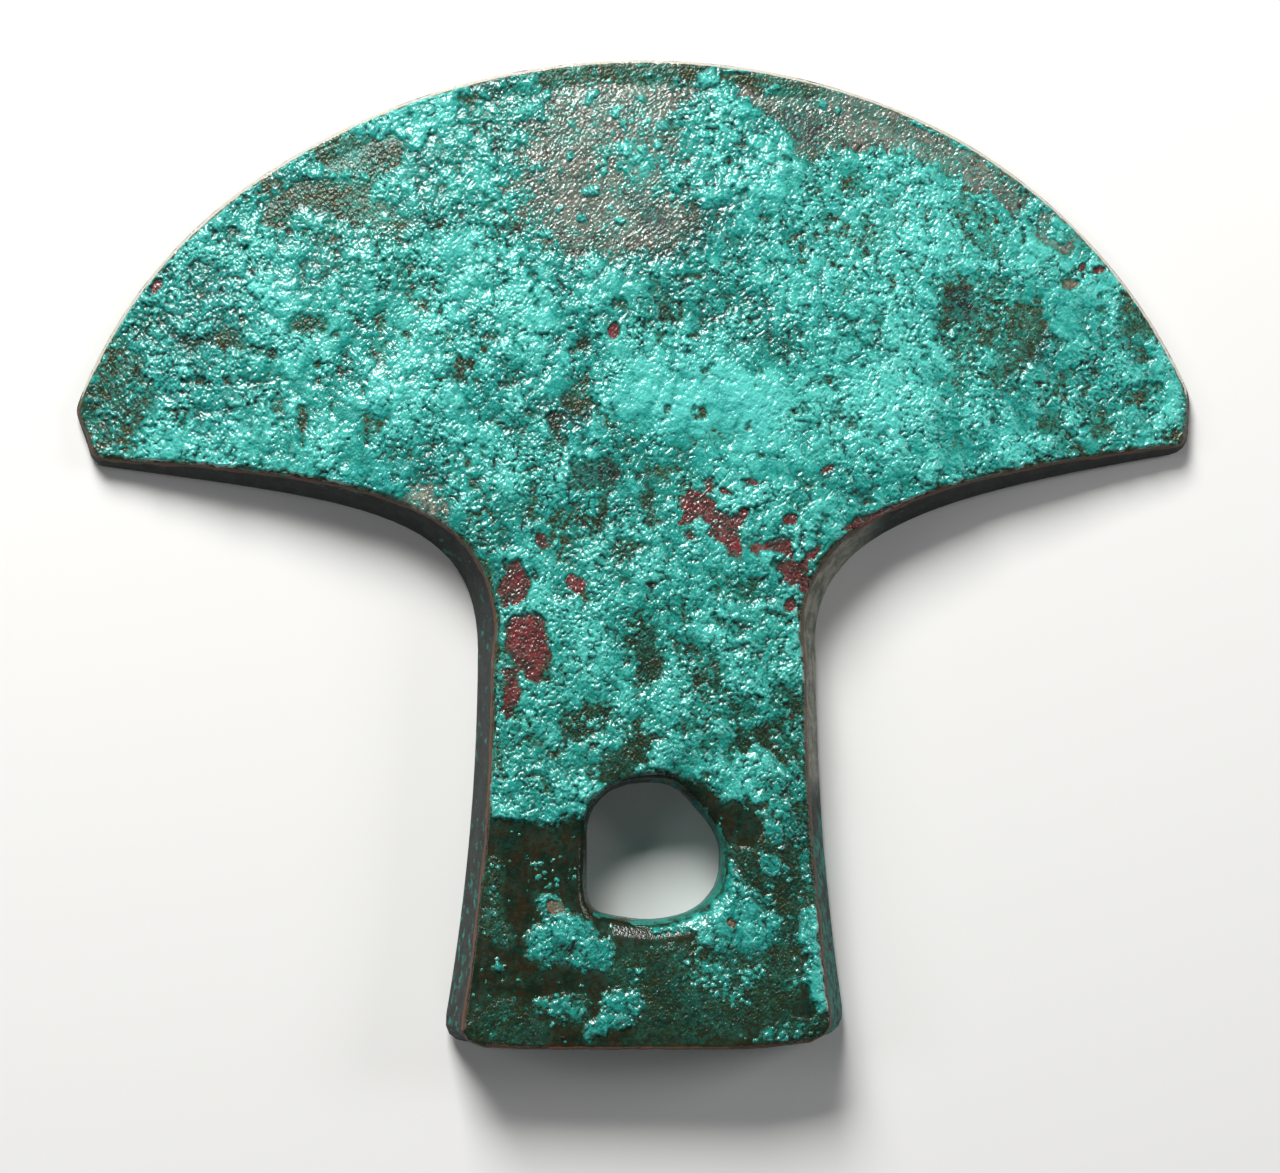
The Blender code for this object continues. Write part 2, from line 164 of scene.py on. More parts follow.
def scanFront(node):
    corners = [v.co[:] for v in node.data.vertices]
    faces = BVHTree.FromPolygons(corners, [face.vertices[:] for face in node.data.polygons])
    step, margin = frontScan["step"], frontScan["margin"]
    xs = np.arange(boxLow[0] - margin, boxHigh[0] + margin, step)
    ys = np.arange(boxLow[1] - margin, boxHigh[1] + margin, step)
    height = np.full((len(ys), len(xs)), np.nan)
    for j, y in enumerate(ys):
        for i, x in enumerate(xs):
            spot, normal, _, _ = faces.ray_cast(Vector((x / 1000, y / 1000, 0.1)), Vector((0, 0, -1)))
            if spot is not None and normal.z > frontScan["steepest"]:
                height[j, i] = spot.z * 1000
    onFront = ~np.isnan(height)
    gridX, gridY = np.meshgrid(xs, ys)
    rimTree = nearestTree(rimSpots(node))
    gap = np.array([rimTree.find((x, y, 0))[2] for x, y in zip(gridX.ravel(), gridY.ravel())])
    gap = gap.reshape(height.shape)
    rim = np.where(onFront, gap, -gap)

    # beyond the face, the height goes on from the nearest place on it
    frontTree = nearestTree(np.column_stack([gridX[onFront], gridY[onFront]]))
    known = height[onFront]
    for j, i in np.argwhere(~onFront):
        height[j, i] = known[frontTree.find((xs[i], ys[j], 0))[1]]
    rimY, rimX = np.gradient(rim, step)
    return {"x": xs[0], "y": ys[0], "height": height, "rim": rim, "rimX": rimX, "rimY": rimY}


def readScan(layer, x, y):
    grid = scan[layer]
    u = np.clip((x - scan["x"]) / frontScan["step"], 0, grid.shape[1] - 1.001)
    v = np.clip((y - scan["y"]) / frontScan["step"], 0, grid.shape[0] - 1.001)
    i, j = u.astype(int), v.astype(int)
    u, v = u - i, v - j
    return betweenCorners(lambda down, across: grid[j + down, i + across], u, v)


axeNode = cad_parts["axe_head"]
scan = scanFront(axeNode)
print("front face scanned")

eye = np.array(photoView["eye"])
lookAlong = np.array(photoView["lookAt"]) - eye
lookAlong /= np.linalg.norm(lookAlong)
lookRight = np.cross(lookAlong, (0, 1, 0))
lookRight /= np.linalg.norm(lookRight)
lookUp = np.cross(lookRight, lookAlong)


def onFace(places):
    # places in the picture, brought down onto the front face
    places = np.array(places, float).reshape(-1, 2)
    width, height = photoView["pictureSize"]
    reach = photoView["lens"] / photoView["sensorWidth"] * width
    rays = (
        lookAlong
        + np.outer((places[:, 0] - width / 2) / reach, lookRight)
        - np.outer((places[:, 1] - height / 2) / reach, lookUp)
    )
    level = np.full(len(places), photoView["lookAt"][2])
    for _ in range(3):
        spots = eye + rays * ((level - eye[2]) / rays[:, 2])[:, None]
        level = readScan("height", spots[:, 0], spots[:, 1])
    return spots[:, :2]


holeMiddle = onFace([(655, 851)])[0]

# Crust and bare metal, painted in this order. Each patch has what shows there, how much crust lies on it
# (1 full, 0 sprinkled, -1 none), how soft its edge is in millimetres, and its shape in picture places:
# an oval (x, y, half width, half height, tilt) or a run of corners [x, y, x, y and so on].
patches = {
    # blade, top
    "greyField": ("grey", -0.12, 2.2, [548, 82, 600, 78, 650, 80, 690, 88, 684, 104, 672, 118, 680, 136,
        664, 152, 670, 172, 662, 188, 684, 204, 694, 222, 676, 236, 668, 254, 640, 246, 616, 262, 596, 250,
        574, 260, 560, 240, 540, 244, 536, 224, 518, 214, 528, 198, 514, 184, 530, 168, 516, 152, 532, 138,
        522, 124, 540, 112, 534, 98]),
    "greyFieldSprinkle": ("grey", 0.16, 2.4, (645, 158, 38, 34, 0)),
    "greyFieldCluster": ("grey", 0.42, 0.9, (637, 168, 16, 13, 10)),
    "greyFieldCorner": ("moss", 0.32, 1.2, (520, 98, 34, 14, -8)),
    "greyFieldHeart": ("slate", -0.7, 0.7, (652, 221, 12, 9, 20)),
    "rimShadeLeft": ("olive", -0.28, 0.8, [545, 68, 600, 63, 660, 62, 700, 66, 700, 82, 650, 84, 600, 82,
        550, 84]),
    "rimBandRight": ("grey", -0.28, 1.2, [745, 74, 800, 82, 860, 96, 920, 124, 980, 157, 1010, 178,
        1030, 200, 1012, 210, 985, 190, 950, 168, 905, 158, 880, 150, 862, 147, 835, 150, 800, 152,
        788, 125, 770, 110, 738, 96]),
    "greyPatchRight": ("slate", -0.7, 0.7, [786, 108, 812, 112, 828, 122, 824, 148, 800, 146, 788, 126]),
    "rimOliveTop": ("olive", -0.6, 0.6, [700, 68, 745, 74, 800, 84, 830, 96, 800, 98, 760, 92, 735, 86,
        706, 84]),
    # blade, left
    "oliveHighLeft": ("olive", -0.45, 1.0, [318, 152, 350, 138, 404, 140, 398, 160, 372, 174, 330, 172]),
    "oliveLeft": ("olive", -0.4, 1.0, [296, 184, 330, 178, 372, 182, 371, 215, 340, 222, 300, 207, 278, 228,
        262, 222, 275, 205]),
    "oliveSpotA": ("olive", -0.4, 0.9, (304, 327, 14, 10, 10)),
    "oliveSpotB": ("olive", -0.4, 0.9, (242, 345, 19, 8, 15)),
    "oliveSpotC": ("olive", -0.5, 0.7, (278, 404, 9, 10, 0)),
    "oliveSpotD": ("olive", -0.3, 0.7, (301, 424, 6, 9, 0)),
    "brownSpotA": ("olive", -0.2, 0.9, (491, 335, 14, 6, 10)),
    "brownSpotB": ("olive", -0.25, 0.9, (457, 373, 9, 14, 0)),
    "greenSpotA": ("green", -0.2, 0.8, (516, 380, 9, 5, 0)),
    "tipMixLeft": ("olive", 0.05, 1.4, [84, 410, 96, 372, 112, 342, 146, 350, 150, 400, 138, 452, 96, 458]),
    "tipMixUpper": ("green", 0.12, 1.2, (148, 322, 24, 20, -50)),
    "neckWhite": ("white", -0.15, 1.6, [402, 492, 430, 482, 452, 500, 448, 524, 420, 516]),
    # blade, middle
    "darkSpotA": ("dark", -1.0, 0.8, [574, 466, 598, 460, 616, 470, 612, 486, 590, 492, 576, 486]),
    "darkSpotB": ("dark", -0.5, 1.0, (556, 432, 8, 17, 0)),
    "darkSpotC": ("olive", -0.05, 1.2, (582, 392, 12, 20, 10)),
    # blade, right
    "oliveRight": ("olive", 0.02, 1.2, [934, 278, 960, 272, 1005, 282, 1010, 300, 1040, 306, 1048, 330,
        1040, 352, 1020, 372, 1004, 382, 980, 376, 955, 372, 940, 340, 936, 310]),
    "darkRight": ("dark", -0.45, 0.8, [944, 292, 956, 285, 975, 292, 980, 306, 972, 322, 956, 320,
        950, 306]),
    "oliveRightHeart": ("olive", -0.6, 0.6, [1008, 310, 1040, 310, 1045, 328, 1030, 352, 1010, 336]),
    "oliveHighRight": ("olive", 0.24, 1.4, [948, 212, 975, 200, 1005, 212, 1010, 240, 985, 262, 955, 268,
        944, 240]),
    "rimMixRight": ("grey", 0.02, 1.0, [1034, 212, 1052, 208, 1074, 236, 1066, 254, 1040, 240]),
    "brownDotRight": ("copper", -1.0, 0.3, (1071, 284, 6, 4, -15)),
    "edgeOliveA": ("olive", -0.1, 1.0, [1114, 298, 1134, 296, 1156, 330, 1150, 342, 1124, 330]),
    "edgeOliveB": ("olive", -0.2, 1.0, (1141, 356, 11, 12, 0)),
    "edgeOliveC": ("olive", -0.2, 0.9, (1142, 394, 14, 10, 0)),
    "edgeOliveD": ("olive", -0.2, 0.9, [1086, 420, 1100, 404, 1124, 408, 1116, 430, 1096, 436]),
    "edgeOliveE": ("green", -0.1, 0.8, (1047, 424, 10, 8, 0)),
    "tipOliveRight": ("olive", -0.3, 0.8, (1177, 436, 12, 10, 0)),
    # neck
    "neckDark": ("olive", -0.15, 0.9, (556, 535, 10, 11, 0)),
    "neckOlive": ("olive", 0.22, 1.5, [548, 519, 577, 498, 607, 485, 619, 511, 602, 532, 581, 557, 556, 570,
        543, 549]),
    "ringOliveA": ("moss", -0.1, 0.9, (604, 508, 6, 13, 10)),
    "ringOliveB": ("moss", -0.1, 0.9, (650, 500, 8, 9, 0)),
    "streakA": ("moss", 0.1, 1.1, (620, 556, 11, 18, 15)),
    "streakB": ("moss", 0.14, 1.4, [619, 616, 640, 608, 662, 629, 666, 663, 649, 697, 628, 688, 624, 650]),
    "streakC": ("moss", 0.15, 1.4, [670, 637, 716, 658, 733, 697, 700, 705, 683, 671]),
    "streakD": ("green", 0.02, 1.2, (742, 590, 18, 12, 0)),
    "streakE": ("moss", 0.14, 1.4, [564, 713, 607, 701, 657, 713, 674, 730, 649, 747, 586, 734]),
    "streakF": ("moss", 0.1, 1.2, [776, 690, 801, 690, 806, 772, 780, 760]),
    "streakG": ("green", 0.1, 1.2, (734, 708, 20, 12, 0)),
    "aboveHoleA": ("moss", 0.02, 1.3, (575, 728, 15, 16, 0)),
    "aboveHoleB": ("moss", -0.3, 1.3, (622, 764, 24, 16, -15)),
    "aboveHoleC": ("moss", 0.05, 1.3, (745, 740, 22, 14, 0)),
    # tang, round the hole and down to the butt
    "tangBare": ("brown", -0.46, 0.8, [460, 824, 500, 821, 545, 824, 585, 818, 600, 800, 640, 770, 690, 782,
        720, 800, 735, 800, 760, 808, 768, 850, 790, 905, 850, 905, 850, 1056, 455, 1056]),
    "tangGreenRight": ("moss", -0.1, 1.4, [724, 850, 760, 830, 800, 850, 812, 905, 800, 1000, 770, 1020,
        745, 1000, 752, 930]),
    "tangGreenLow": ("moss", -0.48, 2.8, [610, 960, 700, 950, 780, 960, 790, 1020, 700, 1040, 640, 1040]),
    "crustLowLeft": ("moss", 0.55, 0.9, [532, 895, 558, 895, 566, 914, 590, 922, 606, 933, 614, 946,
        611, 965, 590, 973, 569, 967, 547, 965, 528, 957, 531, 933, 542, 919]),
    "crustLowDim": ("moss", 0.1, 0.8, (631, 978, 17, 8, 0)),
    "crustLowRound": ("moss", 0.5, 0.9, [600, 992, 622, 985, 642, 990, 647, 1008, 640, 1026, 618, 1030,
        602, 1036, 588, 1040, 586, 1024, 598, 1014]),
    "crustLowBelt": ("moss", 0.28, 0.9, [526, 996, 556, 992, 590, 998, 590, 1016, 560, 1021, 530, 1014]),
    "crustLowSpot": ("moss", 0.2, 0.6, (522, 980, 13, 5, 0)),
    "crustLowDot": ("moss", 0.35, 0.5, (500, 966, 7, 5, 0)),
    "crustLeftDots": ("moss", -0.05, 0.9, [484, 858, 498, 860, 500, 900, 506, 945, 484, 930]),
    "crustCornerDots": ("moss", -0.22, 2.2, [474, 1008, 520, 1000, 545, 1024, 540, 1044, 476, 1044]),
    "crustHoleLip": ("moss", 0.6, 0.9, [724, 850, 737, 871, 751, 892, 780, 919, 783, 941, 761, 957,
        721, 957, 697, 948, 690, 930, 660, 928, 634, 926, 634, 916, 690, 906, 714, 892, 719, 874]),
    "crustHoleBelow": ("moss", 0.15, 1.4, [676, 952, 720, 954, 768, 956, 766, 990, 730, 1008, 690, 990]),
    "crustRightColumn": ("moss", 0.85, 0.8, [804, 912, 822, 908, 832, 950, 842, 1012, 820, 1014, 806, 980,
        802, 940]),
    "crustRightFoot": ("moss", 0.22, 0.9, [764, 1024, 800, 1016, 834, 1012, 832, 1032, 790, 1040,
        752, 1044]),
    "crustRightUpper": ("moss", 0.28, 1.0, [784, 800, 806, 800, 812, 862, 794, 862, 786, 832]),
    "holeOliveRight": ("brown", -0.5, 0.9, [733, 806, 752, 806, 762, 828, 758, 850, 738, 846]),
    "copperSpotLeft": ("copper", -1.0, 0.25, (555, 908, 8, 6, 0)),
    "copperSpotRight": ("copper", -1.0, 0.25, (731, 923, 4, 4, 0)),
    # red windows
    "redNeckA": ("red", -0.5, 0.5, [503, 563, 520, 560, 529, 572, 528, 590, 518, 604, 505, 603, 499, 590]),
    "redNeckB": ("red", -0.55, 0.5, [510, 618, 530, 611, 543, 620, 551, 640, 549, 665, 538, 685, 522, 680,
        512, 660, 508, 640]),
    "redNeckC": ("red", -0.42, 0.5, [502, 668, 514, 665, 523, 690, 516, 710, 506, 728, 500, 715]),
    "redNeckDot": ("red", -1.0, 0.2, (540, 541, 5, 5, 0)),
    "redNeckEye": ("red", -1.0, 0.2, (575, 584, 10, 6, 25)),
    "redMain": ("red", -0.22, 0.5, [690, 489, 703, 490, 711, 479, 714, 483, 712, 499, 721, 503, 718, 507,
        729, 513, 746, 511, 744, 520, 741, 530, 744, 542, 743, 561, 731, 554, 715, 542, 689, 536, 690, 532,
        703, 535, 707, 527, 700, 519, 680, 523, 686, 513, 685, 500]),
    "redUpper": ("red", -0.9, 0.2, [742, 480, 752, 476, 760, 482, 758, 487, 748, 484]),
    "redDotA": ("red", -0.9, 0.2, (728, 493, 5, 2, 20)),
    "redDotB": ("red", -0.95, 0.2, (791, 519, 7, 6, 0)),
    "redDotC": ("red", -0.9, 0.2, (805, 531, 4, 2, 0)),
    "redCorner": ("red", -0.38, 0.5, [748, 554, 752, 542, 760, 540, 764, 546, 776, 538, 793, 535, 795, 548,
        799, 558, 811, 548, 819, 546, 820, 552, 811, 562, 810, 574, 813, 580, 807, 591, 791, 589, 778, 582,
        780, 574, 773, 570, 776, 562, 784, 556, 776, 552, 764, 550, 758, 556]),
    "redDotD": ("red", -0.9, 0.2, (791, 604, 4, 5, 20)),
    "redCrack": ("red", -0.9, 0.2, [815, 474, 826, 467, 836, 463, 838, 467, 828, 473]),
    "redArris": ("red", -0.8, 0.25, [842, 530, 860, 519, 890, 508, 918, 500, 918, 503, 892, 513, 866, 526]),
    "redEdgeLeft": ("red", -1.0, 0.25, (157, 287, 5, 10, 40)),
    "redTipRightA": ("red", -1.0, 0.2, (1083, 267, 3, 3, 0)),
    "redTipRightB": ("red", -1.0, 0.2, (1100, 269, 6, 3, -10)),
    "redSpeckA": ("red", -0.9, 0.2, (614, 329, 3, 5, 0)),
    "redSpeckB": ("red", -0.9, 0.2, (571, 328, 4, 2, 0)),
    "redSpeckC": ("red", -0.9, 0.2, (791, 717, 2, 2, 0)),
}

# Single lumps and rings of crust: picture place, half width, height, and how hollow the middle is.
nodules = {
    "rimBig": (709, 77, 11, 0.6, 0),
    "fieldA": (639, 158, 8, 0.4, 0),
    "fieldB": (591, 190, 8, 0.45, 0),
    "fieldC": (584, 217, 6, 0.4, 0),
    "fieldD": (661, 144, 7, 0.35, 0),
    "fieldE": (618, 219, 6, 0.35, 0),
    "fieldF": (592, 96, 6, 0.4, 0),
    "fieldH": (558, 262, 7, 0.35, 0),
    "fieldI": (604, 153, 5, 0.32, 0),
    "fieldJ": (569, 161, 5, 0.32, 0),
    "fieldK": (613, 112, 6, 0.34, 0),
    "fieldL": (621, 125, 5, 0.32, 0),
    "fieldM": (664, 122, 7, 0.36, 0),
    "fieldN": (642, 97, 5, 0.32, 0),
    "fieldO": (649, 77, 5, 0.32, 0),
    "fieldP": (548, 97, 5, 0.32, 0),
    "fieldQ": (600, 228, 4, 0.3, 0),
    "fieldR": (560, 208, 4, 0.3, 0),
    "fieldS": (634, 176, 6, 0.36, 0),
    "fieldT": (576, 128, 4, 0.3, 0),
    "fieldU": (545, 178, 5, 0.32, 0),
    "fieldV": (548, 230, 6, 0.34, 0),
    "bandA": (773, 91, 8, 0.4, 0),
    "bandB": (820, 105, 6, 0.35, 0),
    "bandC": (836, 110, 5, 0.35, 0),
    "bandD": (682, 84, 7, 0.35, 0),
    "rightRound": (987, 356, 14, 0.45, 0),
    "rightRing": (1046, 279, 14, 0.45, 0.5),
    "edgeRound": (1077, 420, 16, 0.35, 0),
    "edgeSmall": (1121, 430, 10, 0.35, 0),
    "edgeSmallB": (1062, 232, 12, 0.4, 0.3),
    "tangRing": (773, 866, 13, 0.35, 0.8),
    "neckRing": (622, 505, 15, 0.25, 0.3),
    "neckLump": (598, 586, 13, 0.25, 0),
    "stemRing": (694, 580, 22, 0.25, 0.6),
    "leftLump": (492, 378, 17, 0.35, 0.2),
}

# Shades of the crust: how bright, how green, how smooth, softness in millimetres, and the shape.
crustShades = {
    "smoothHeart": (1.0, 0, 0.7, 4, (722, 402, 74, 50, 0)),
    "rightSmooth": (0.45, 0.1, 0.6, 2.5, [1040, 290, 1090, 290, 1110, 312, 1070, 320, 1034, 312,
        1020, 300]),
    "leftSmooth": (0.5, 0.1, 0.5, 2.5, (300, 262, 40, 30, -20)),
    "rightHigh": (1.0, 0.05, 0.15, 5, (890, 235, 90, 75, 0)),
    "lowLeft": (0.36, 0.25, 0.05, 3, (530, 775, 60, 34, 0)),
    "rightWing": (0.85, 0.08, 0.2, 7, (880, 400, 80, 60, 0)),
    "stem": (0.68, 0.26, 0.1, 7, [480, 600, 560, 560, 640, 520, 700, 560, 810, 610, 812, 800, 770, 830,
        600, 800, 486, 830]),
    "stemEdge": (0.46, 0.35, 0.1, 2.5, [745, 610, 812, 600, 812, 800, 775, 800, 760, 700]),
    "lowTang": (0.55, 0.25, 0.2, 3, [470, 850, 850, 850, 850, 1050, 460, 1050]),
    "leftWingDeep": (0.4, 0.1, 0, 6, (200, 330, 60, 60, 0)),
}


def insideShape(x, y, shape):
    # how far inside the shape each point is, in millimetres, less than 0 outside it
    if isinstance(shape, tuple):
        (midX, midY), = onFace(shape[:2])
        tilt = math.radians(shape[4])
        across = (x - midX) * math.cos(tilt) - (y - midY) * math.sin(tilt)
        along = (x - midX) * math.sin(tilt) + (y - midY) * math.cos(tilt)
        halfX, halfY = shape[2] * pixelSize, shape[3] * pixelSize
        return (1 - np.hypot(across / halfX, along / halfY)) * min(halfX, halfY)
    corners = onFace(shape)
    gap = np.full(len(x), 1e9)
    crossings = np.zeros(len(x), int)
    for (x0, y0), (x1, y1) in zip(corners, np.roll(corners, -1, axis=0)):
        runX, runY = x1 - x0, y1 - y0
        share = np.clip(((x - x0) * runX + (y - y0) * runY) / (runX**2 + runY**2), 0, 1)
        gap = np.minimum(gap, np.hypot(x - x0 - share * runX, y - y0 - share * runY))
        if y0 != y1:
            crossings += ((y0 > y) != (y1 > y)) & (x < x0 + (y - y0) * runX / (y1 - y0))
    return np.where(crossings % 2 == 1, gap, -gap)


def paintShape(x, y, shape, soft, wobble):
    # 1 inside the shape, 0 outside, with an uneven edge
    mask = np.zeros(len(x))
    reach = 3 + soft
    corners = shape
    if isinstance(shape, tuple):
        reach += max(shape[2:4]) * pixelSize
        corners = [shape[:2]]
    spots = onFace(corners)
    near = (
        (x > spots[:, 0].min() - reach) & (x < spots[:, 0].max() + reach)
        & (y > spots[:, 1].min() - reach) & (y < spots[:, 1].max() + reach)
    )
    if near.any():
        inside = insideShape(x[near], y[near], shape)
        mask[near] = softStep(-soft, soft, inside + wobble[near] * min(1.0, 0.25 + soft))
    return mask


# Kinds of bare surface, and how granular each one is.
metalKinds = {
    "olive": 0.6, "brown": 0.0, "moss": 0.5, "green": 0.5, "grey": 1.0, "slate": 0.35, "dark": 0.45,
    "white": 1.0, "red": 0.7, "copper": 0.5,
}
shownKinds = tuple(kind for kind in metalKinds if kind != "olive")

# Uneven patterns of the front: mean, swing, size, seed and layers.
patterns = {
    "wobble": (0, 1.1, 3.0, 11, 3),
    "fineWobble": (0, 0.5, 0.9, 12, 2),
    "cover": (0.64, 0.42, 7.0, 23, 3),
    "gaps": (0, 1, 2.0, 27, 3),
    "bright": (0.56, 0.34, 9.0, 41, 3),
    "shade": (0.12, 0.16, 8.0, 43, 2),
    "smooth": (0.20, 0.75, 3.4, 47, 3),
}


def surfaceMap(x, y):
    # what lies at each place of the front: the crust's cover and shades, and the kind of metal under it
    drawn = {}
    for name, (mean, swing, size, seed, layers) in patterns.items():
        drawn[name] = mean + swing * roughness(x, y, size, seed, layers)
    wobble = drawn["wobble"] + drawn["fineWobble"]
    cover = drawn["cover"] - 0.6 * softStep(0.34, 0.75, drawn["gaps"])
    kinds = {kind: np.zeros(len(x)) for kind in metalKinds}
    kinds["olive"] += 1
    for kind, crust, soft, shape in patches.values():
        mask = paintShape(x, y, shape, soft, wobble)
        cover += (crust - cover) * mask
        for other in kinds:
            kinds[other] *= 1 - mask
        kinds[kind] += mask
    bright, shade, smooth = drawn["bright"], drawn["shade"], drawn["smooth"]
    for newBright, newShade, newSmooth, soft, shape in crustShades.values():
        mask = paintShape(x, y, shape, soft, wobble)
        bright += (newBright - bright) * mask * 0.8
        shade += (newShade - shade) * mask * 0.8
        smooth += (newSmooth - smooth) * mask
    grit = sum(share * kinds[kind] for kind, share in metalKinds.items())
    shown = {"cover": cover, "bright": bright, "shade": shade, "smooth": np.clip(smooth, 0, 1), "grit": grit}
    return {**shown, **kinds}


crustForm = {
    "spacing": 0.154,
    "cellsPerBlock": 4,
    "recess": 0.30,         # how far the metal lies under the cast face, to leave room for the crust
    "rimRecessRun": 1.2,    # how far in from the rim the metal gets there
    "facets": 0.07,         # from corner to corner
    "groundHeight": 0.32,   # the bare granular metal
    "floor": -0.32,         # how deep the hidden parts of a sheet lie under the metal
    "thickness": 0.45,      # from the metal down to the underside of a sheet
    "thinnest": 0.2,
    "rimGap": 0.12,         # how near a sheet comes to the rim
    "rimReach": 1.4,        # how many blocks past the rim the grid goes
    "rimDip": 0.3,          # how far a sheet sinks towards the rim
    "lowest": 1.1,
    "headroom": 0.01,       # under the top of the CAD box
    "shownFrom": -0.11,     # blocks that stay lower than this are left out
    "nowhere": -9.0,
}

# Round lumps in the crust: size, share of the height, seed, crowding, how far the bends pull them across
# and along, and their stretch.
lumpLayers = {
    "clumps": (4.4, 0.36, 71, 0.95, 2.0, 2.0, 1.0),
    "lumps": (1.7, 0.30, 75, 0.90, 1.2, 1.2, 1.0),
    "grains": (0.58, 0.23, 81, 0.85, 0.9, 1.035, 1.15),
    "fine": (0.34, 0.11, 91, 0.85, 0.4, 0.4, 1.1),
    "specks": (1.0, 0.34, 77, 0.75, 0.4, 0.4, 1.0),
}


def metalLevel(x, y, rim):
    return readScan("height", x, y) - crustForm["recess"] * softStep(0, crustForm["rimRecessRun"], rim)


# a pale line along the cutting edge: worn metal, and partly a painted highlight on its bevel
def wornEdge(y, rim):
    return np.exp(-(((rim - 0.10) / 0.50) ** 2)) * softStep(16, 24, y)


def addNodules(crust, x, y, bendX, bendY, granular, lumps):
    for placeX, placeY, half, tall, hollow in nodules.values():
        (midX, midY), = onFace([(placeX, placeY)])
        half = half * pixelSize
        gap = np.hypot(x + 1.3 * bendX - midX, y + 1.3 * bendY - midY) / half
        near = gap < 1
        ring = (1 - gap[near] ** 2) ** 0.7 - hollow * np.exp(-((gap[near] / 0.45) ** 2))
        crust[near] = np.maximum(crust[near], tall * ring + 1.1 * granular[near] + 0.2 * lumps[near] - 0.16)


def crustRelief(x, y, rim, spots):
    # height over the metal, less than 0 where the sheet is hidden, and what the crust's colours follow
    form, cover = crustForm, spots["cover"]
    bendX, bendY = [0.5 * swells(x, y, 1.7, n) + 0.22 * swells(x, y, 0.7, n + 1) for n in (61, 63)]
    layer, part = {}, {}
    for name, (size, share, seed, crowding, pullX, pullY, stretch) in lumpLayers.items():
        layer[name] = domes(x + pullX * bendX, stretch * y + pullY * bendY, size, seed, crowding)
        part[name] = share * (softStep(0.5, 0.85, layer[name]) if name == "specks" else layer[name])
    lively = 0.55 + 0.85 * softStep(-0.6, 0.6, roughness(x, y, 2.6, 97, 2))
    granular = lively * (part["grains"] + part["fine"])
    calm = 0.85 * spots["smooth"]
    clumpy = 0.75 + 0.25 * swells(x, y, 11.0, 95)
    rise = part["clumps"] * clumpy + part["lumps"] * (1 - 0.5 * calm) + (1 - calm) * granular + calm * 0.15
    rise += part["specks"] * softStep(0.5, 0.0, cover)
    byHole = np.exp(-((np.hypot(x - holeMiddle[0], y - holeMiddle[1]) / 11) ** 8))
    ragged = 0.45 * (roughness(x, y, 1.5, 99, 2) + 0.2)
    edge = (1 - softStep(0.0, 0.6, rim - form["rimGap"] - ragged)) * (1 - 0.7 * byHole)
    crust = rise + 0.75 * np.clip(cover, -1.2, 0.9) - 0.5 - 1.1 * edge
    addNodules(crust, x, y, bendX, bendY, granular, layer["lumps"])

    grit = spots["grit"] * softStep(0.05, 0.6, rim)
    ground = 0.16 * softStep(0.05, 0.4, grit) - 0.13
    ground += form["groundHeight"] * grit * (0.28 * layer["grains"] + 0.60 * layer["fine"])
    height = np.maximum(crust, ground)
    facets = 2 * steadyRandom(np.floor(x / form["spacing"]), np.floor(y / form["spacing"]), 93) - 1
    height += form["facets"] * facets * (1 - calm) * softStep(-0.12, 0.02, height)
    # cavity: low in the creases, high on the tops; the colours darken the creases with it as painted shade
    cavity = 0.62 * layer["grains"] + 0.34 * layer["fine"] + 0.22 * layer["lumps"] + 0.12 * layer["clumps"]
    cavity = np.clip(cavity, 0, 1)
    cavity += calm * (0.55 + 0.3 * layer["lumps"] - cavity)
    return {
        "height": height,
        "crust": np.clip(0.5 + 1.6 * (crust - ground), 0, 1),
        # lighter on taller crust, partly as thicker crust and partly as painted light on the tops
        "bright": np.clip(spots["bright"] + 1.2 * (np.maximum(crust, 0.25) - 0.42), 0, 1),
        "shade": np.clip(spots["shade"] + 0.35 * softStep(0.3, 0.05, crust), 0, 1),
        "smooth": spots["smooth"],
        "cavity": cavity,
        "worn": wornEdge(y, rim),
    }


sheetNames = (
    "crust_left_wing", "crust_left_face", "crust_right_face", "crust_right_wing", "crust_neck", "crust_butt",
)


def sheetOf(x, y):
    blade = np.where(x < -25, 0, np.where(x < 0, 1, np.where(x < 25, 2, 3)))
    return np.where(y < -36, 5, np.where(y < -9, 4, blade))


def newObject(name, data):
    made = bpy.data.objects.new(name, data)
    bpy.context.scene.collection.objects.link(made)
    return made


def setFloats(mesh, values):
    for name, numbers in values.items():
        layer = mesh.attributes.new(name, "FLOAT", "POINT")
        layer.data.foreach_set("value", np.ascontiguousarray(numbers, np.float32))


def newMesh(name, points, triangles):
    mesh = bpy.data.meshes.new(name)
    mesh.vertices.add(len(points))
    mesh.vertices.foreach_set("co", (points / 1000).astype(np.float32).ravel())
    mesh.loops.add(3 * len(triangles))
    mesh.loops.foreach_set("vertex_index", triangles.astype(np.int32).ravel())
    mesh.polygons.add(len(triangles))
    mesh.polygons.foreach_set("loop_start", np.arange(0, 3 * len(triangles), 3, dtype=np.int32))
    mesh.update(calc_edges=True)
    return mesh


def setMap(mesh, cornerPlaces):
    layer = mesh.uv_layers.new(name="OFBake")
    layer.data.foreach_set("uv", np.ascontiguousarray(cornerPlaces, np.float32).ravel())


def addPiece(name, mesh, material):
    mesh.materials.clear()
    mesh.materials.append(material)
    piece = newObject(name, mesh)
    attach(piece, "root")
    return piece


def onGrid(values, alive, empty=0.0):
    grid = np.full(alive.shape, empty)
    grid[alive] = values
    return grid


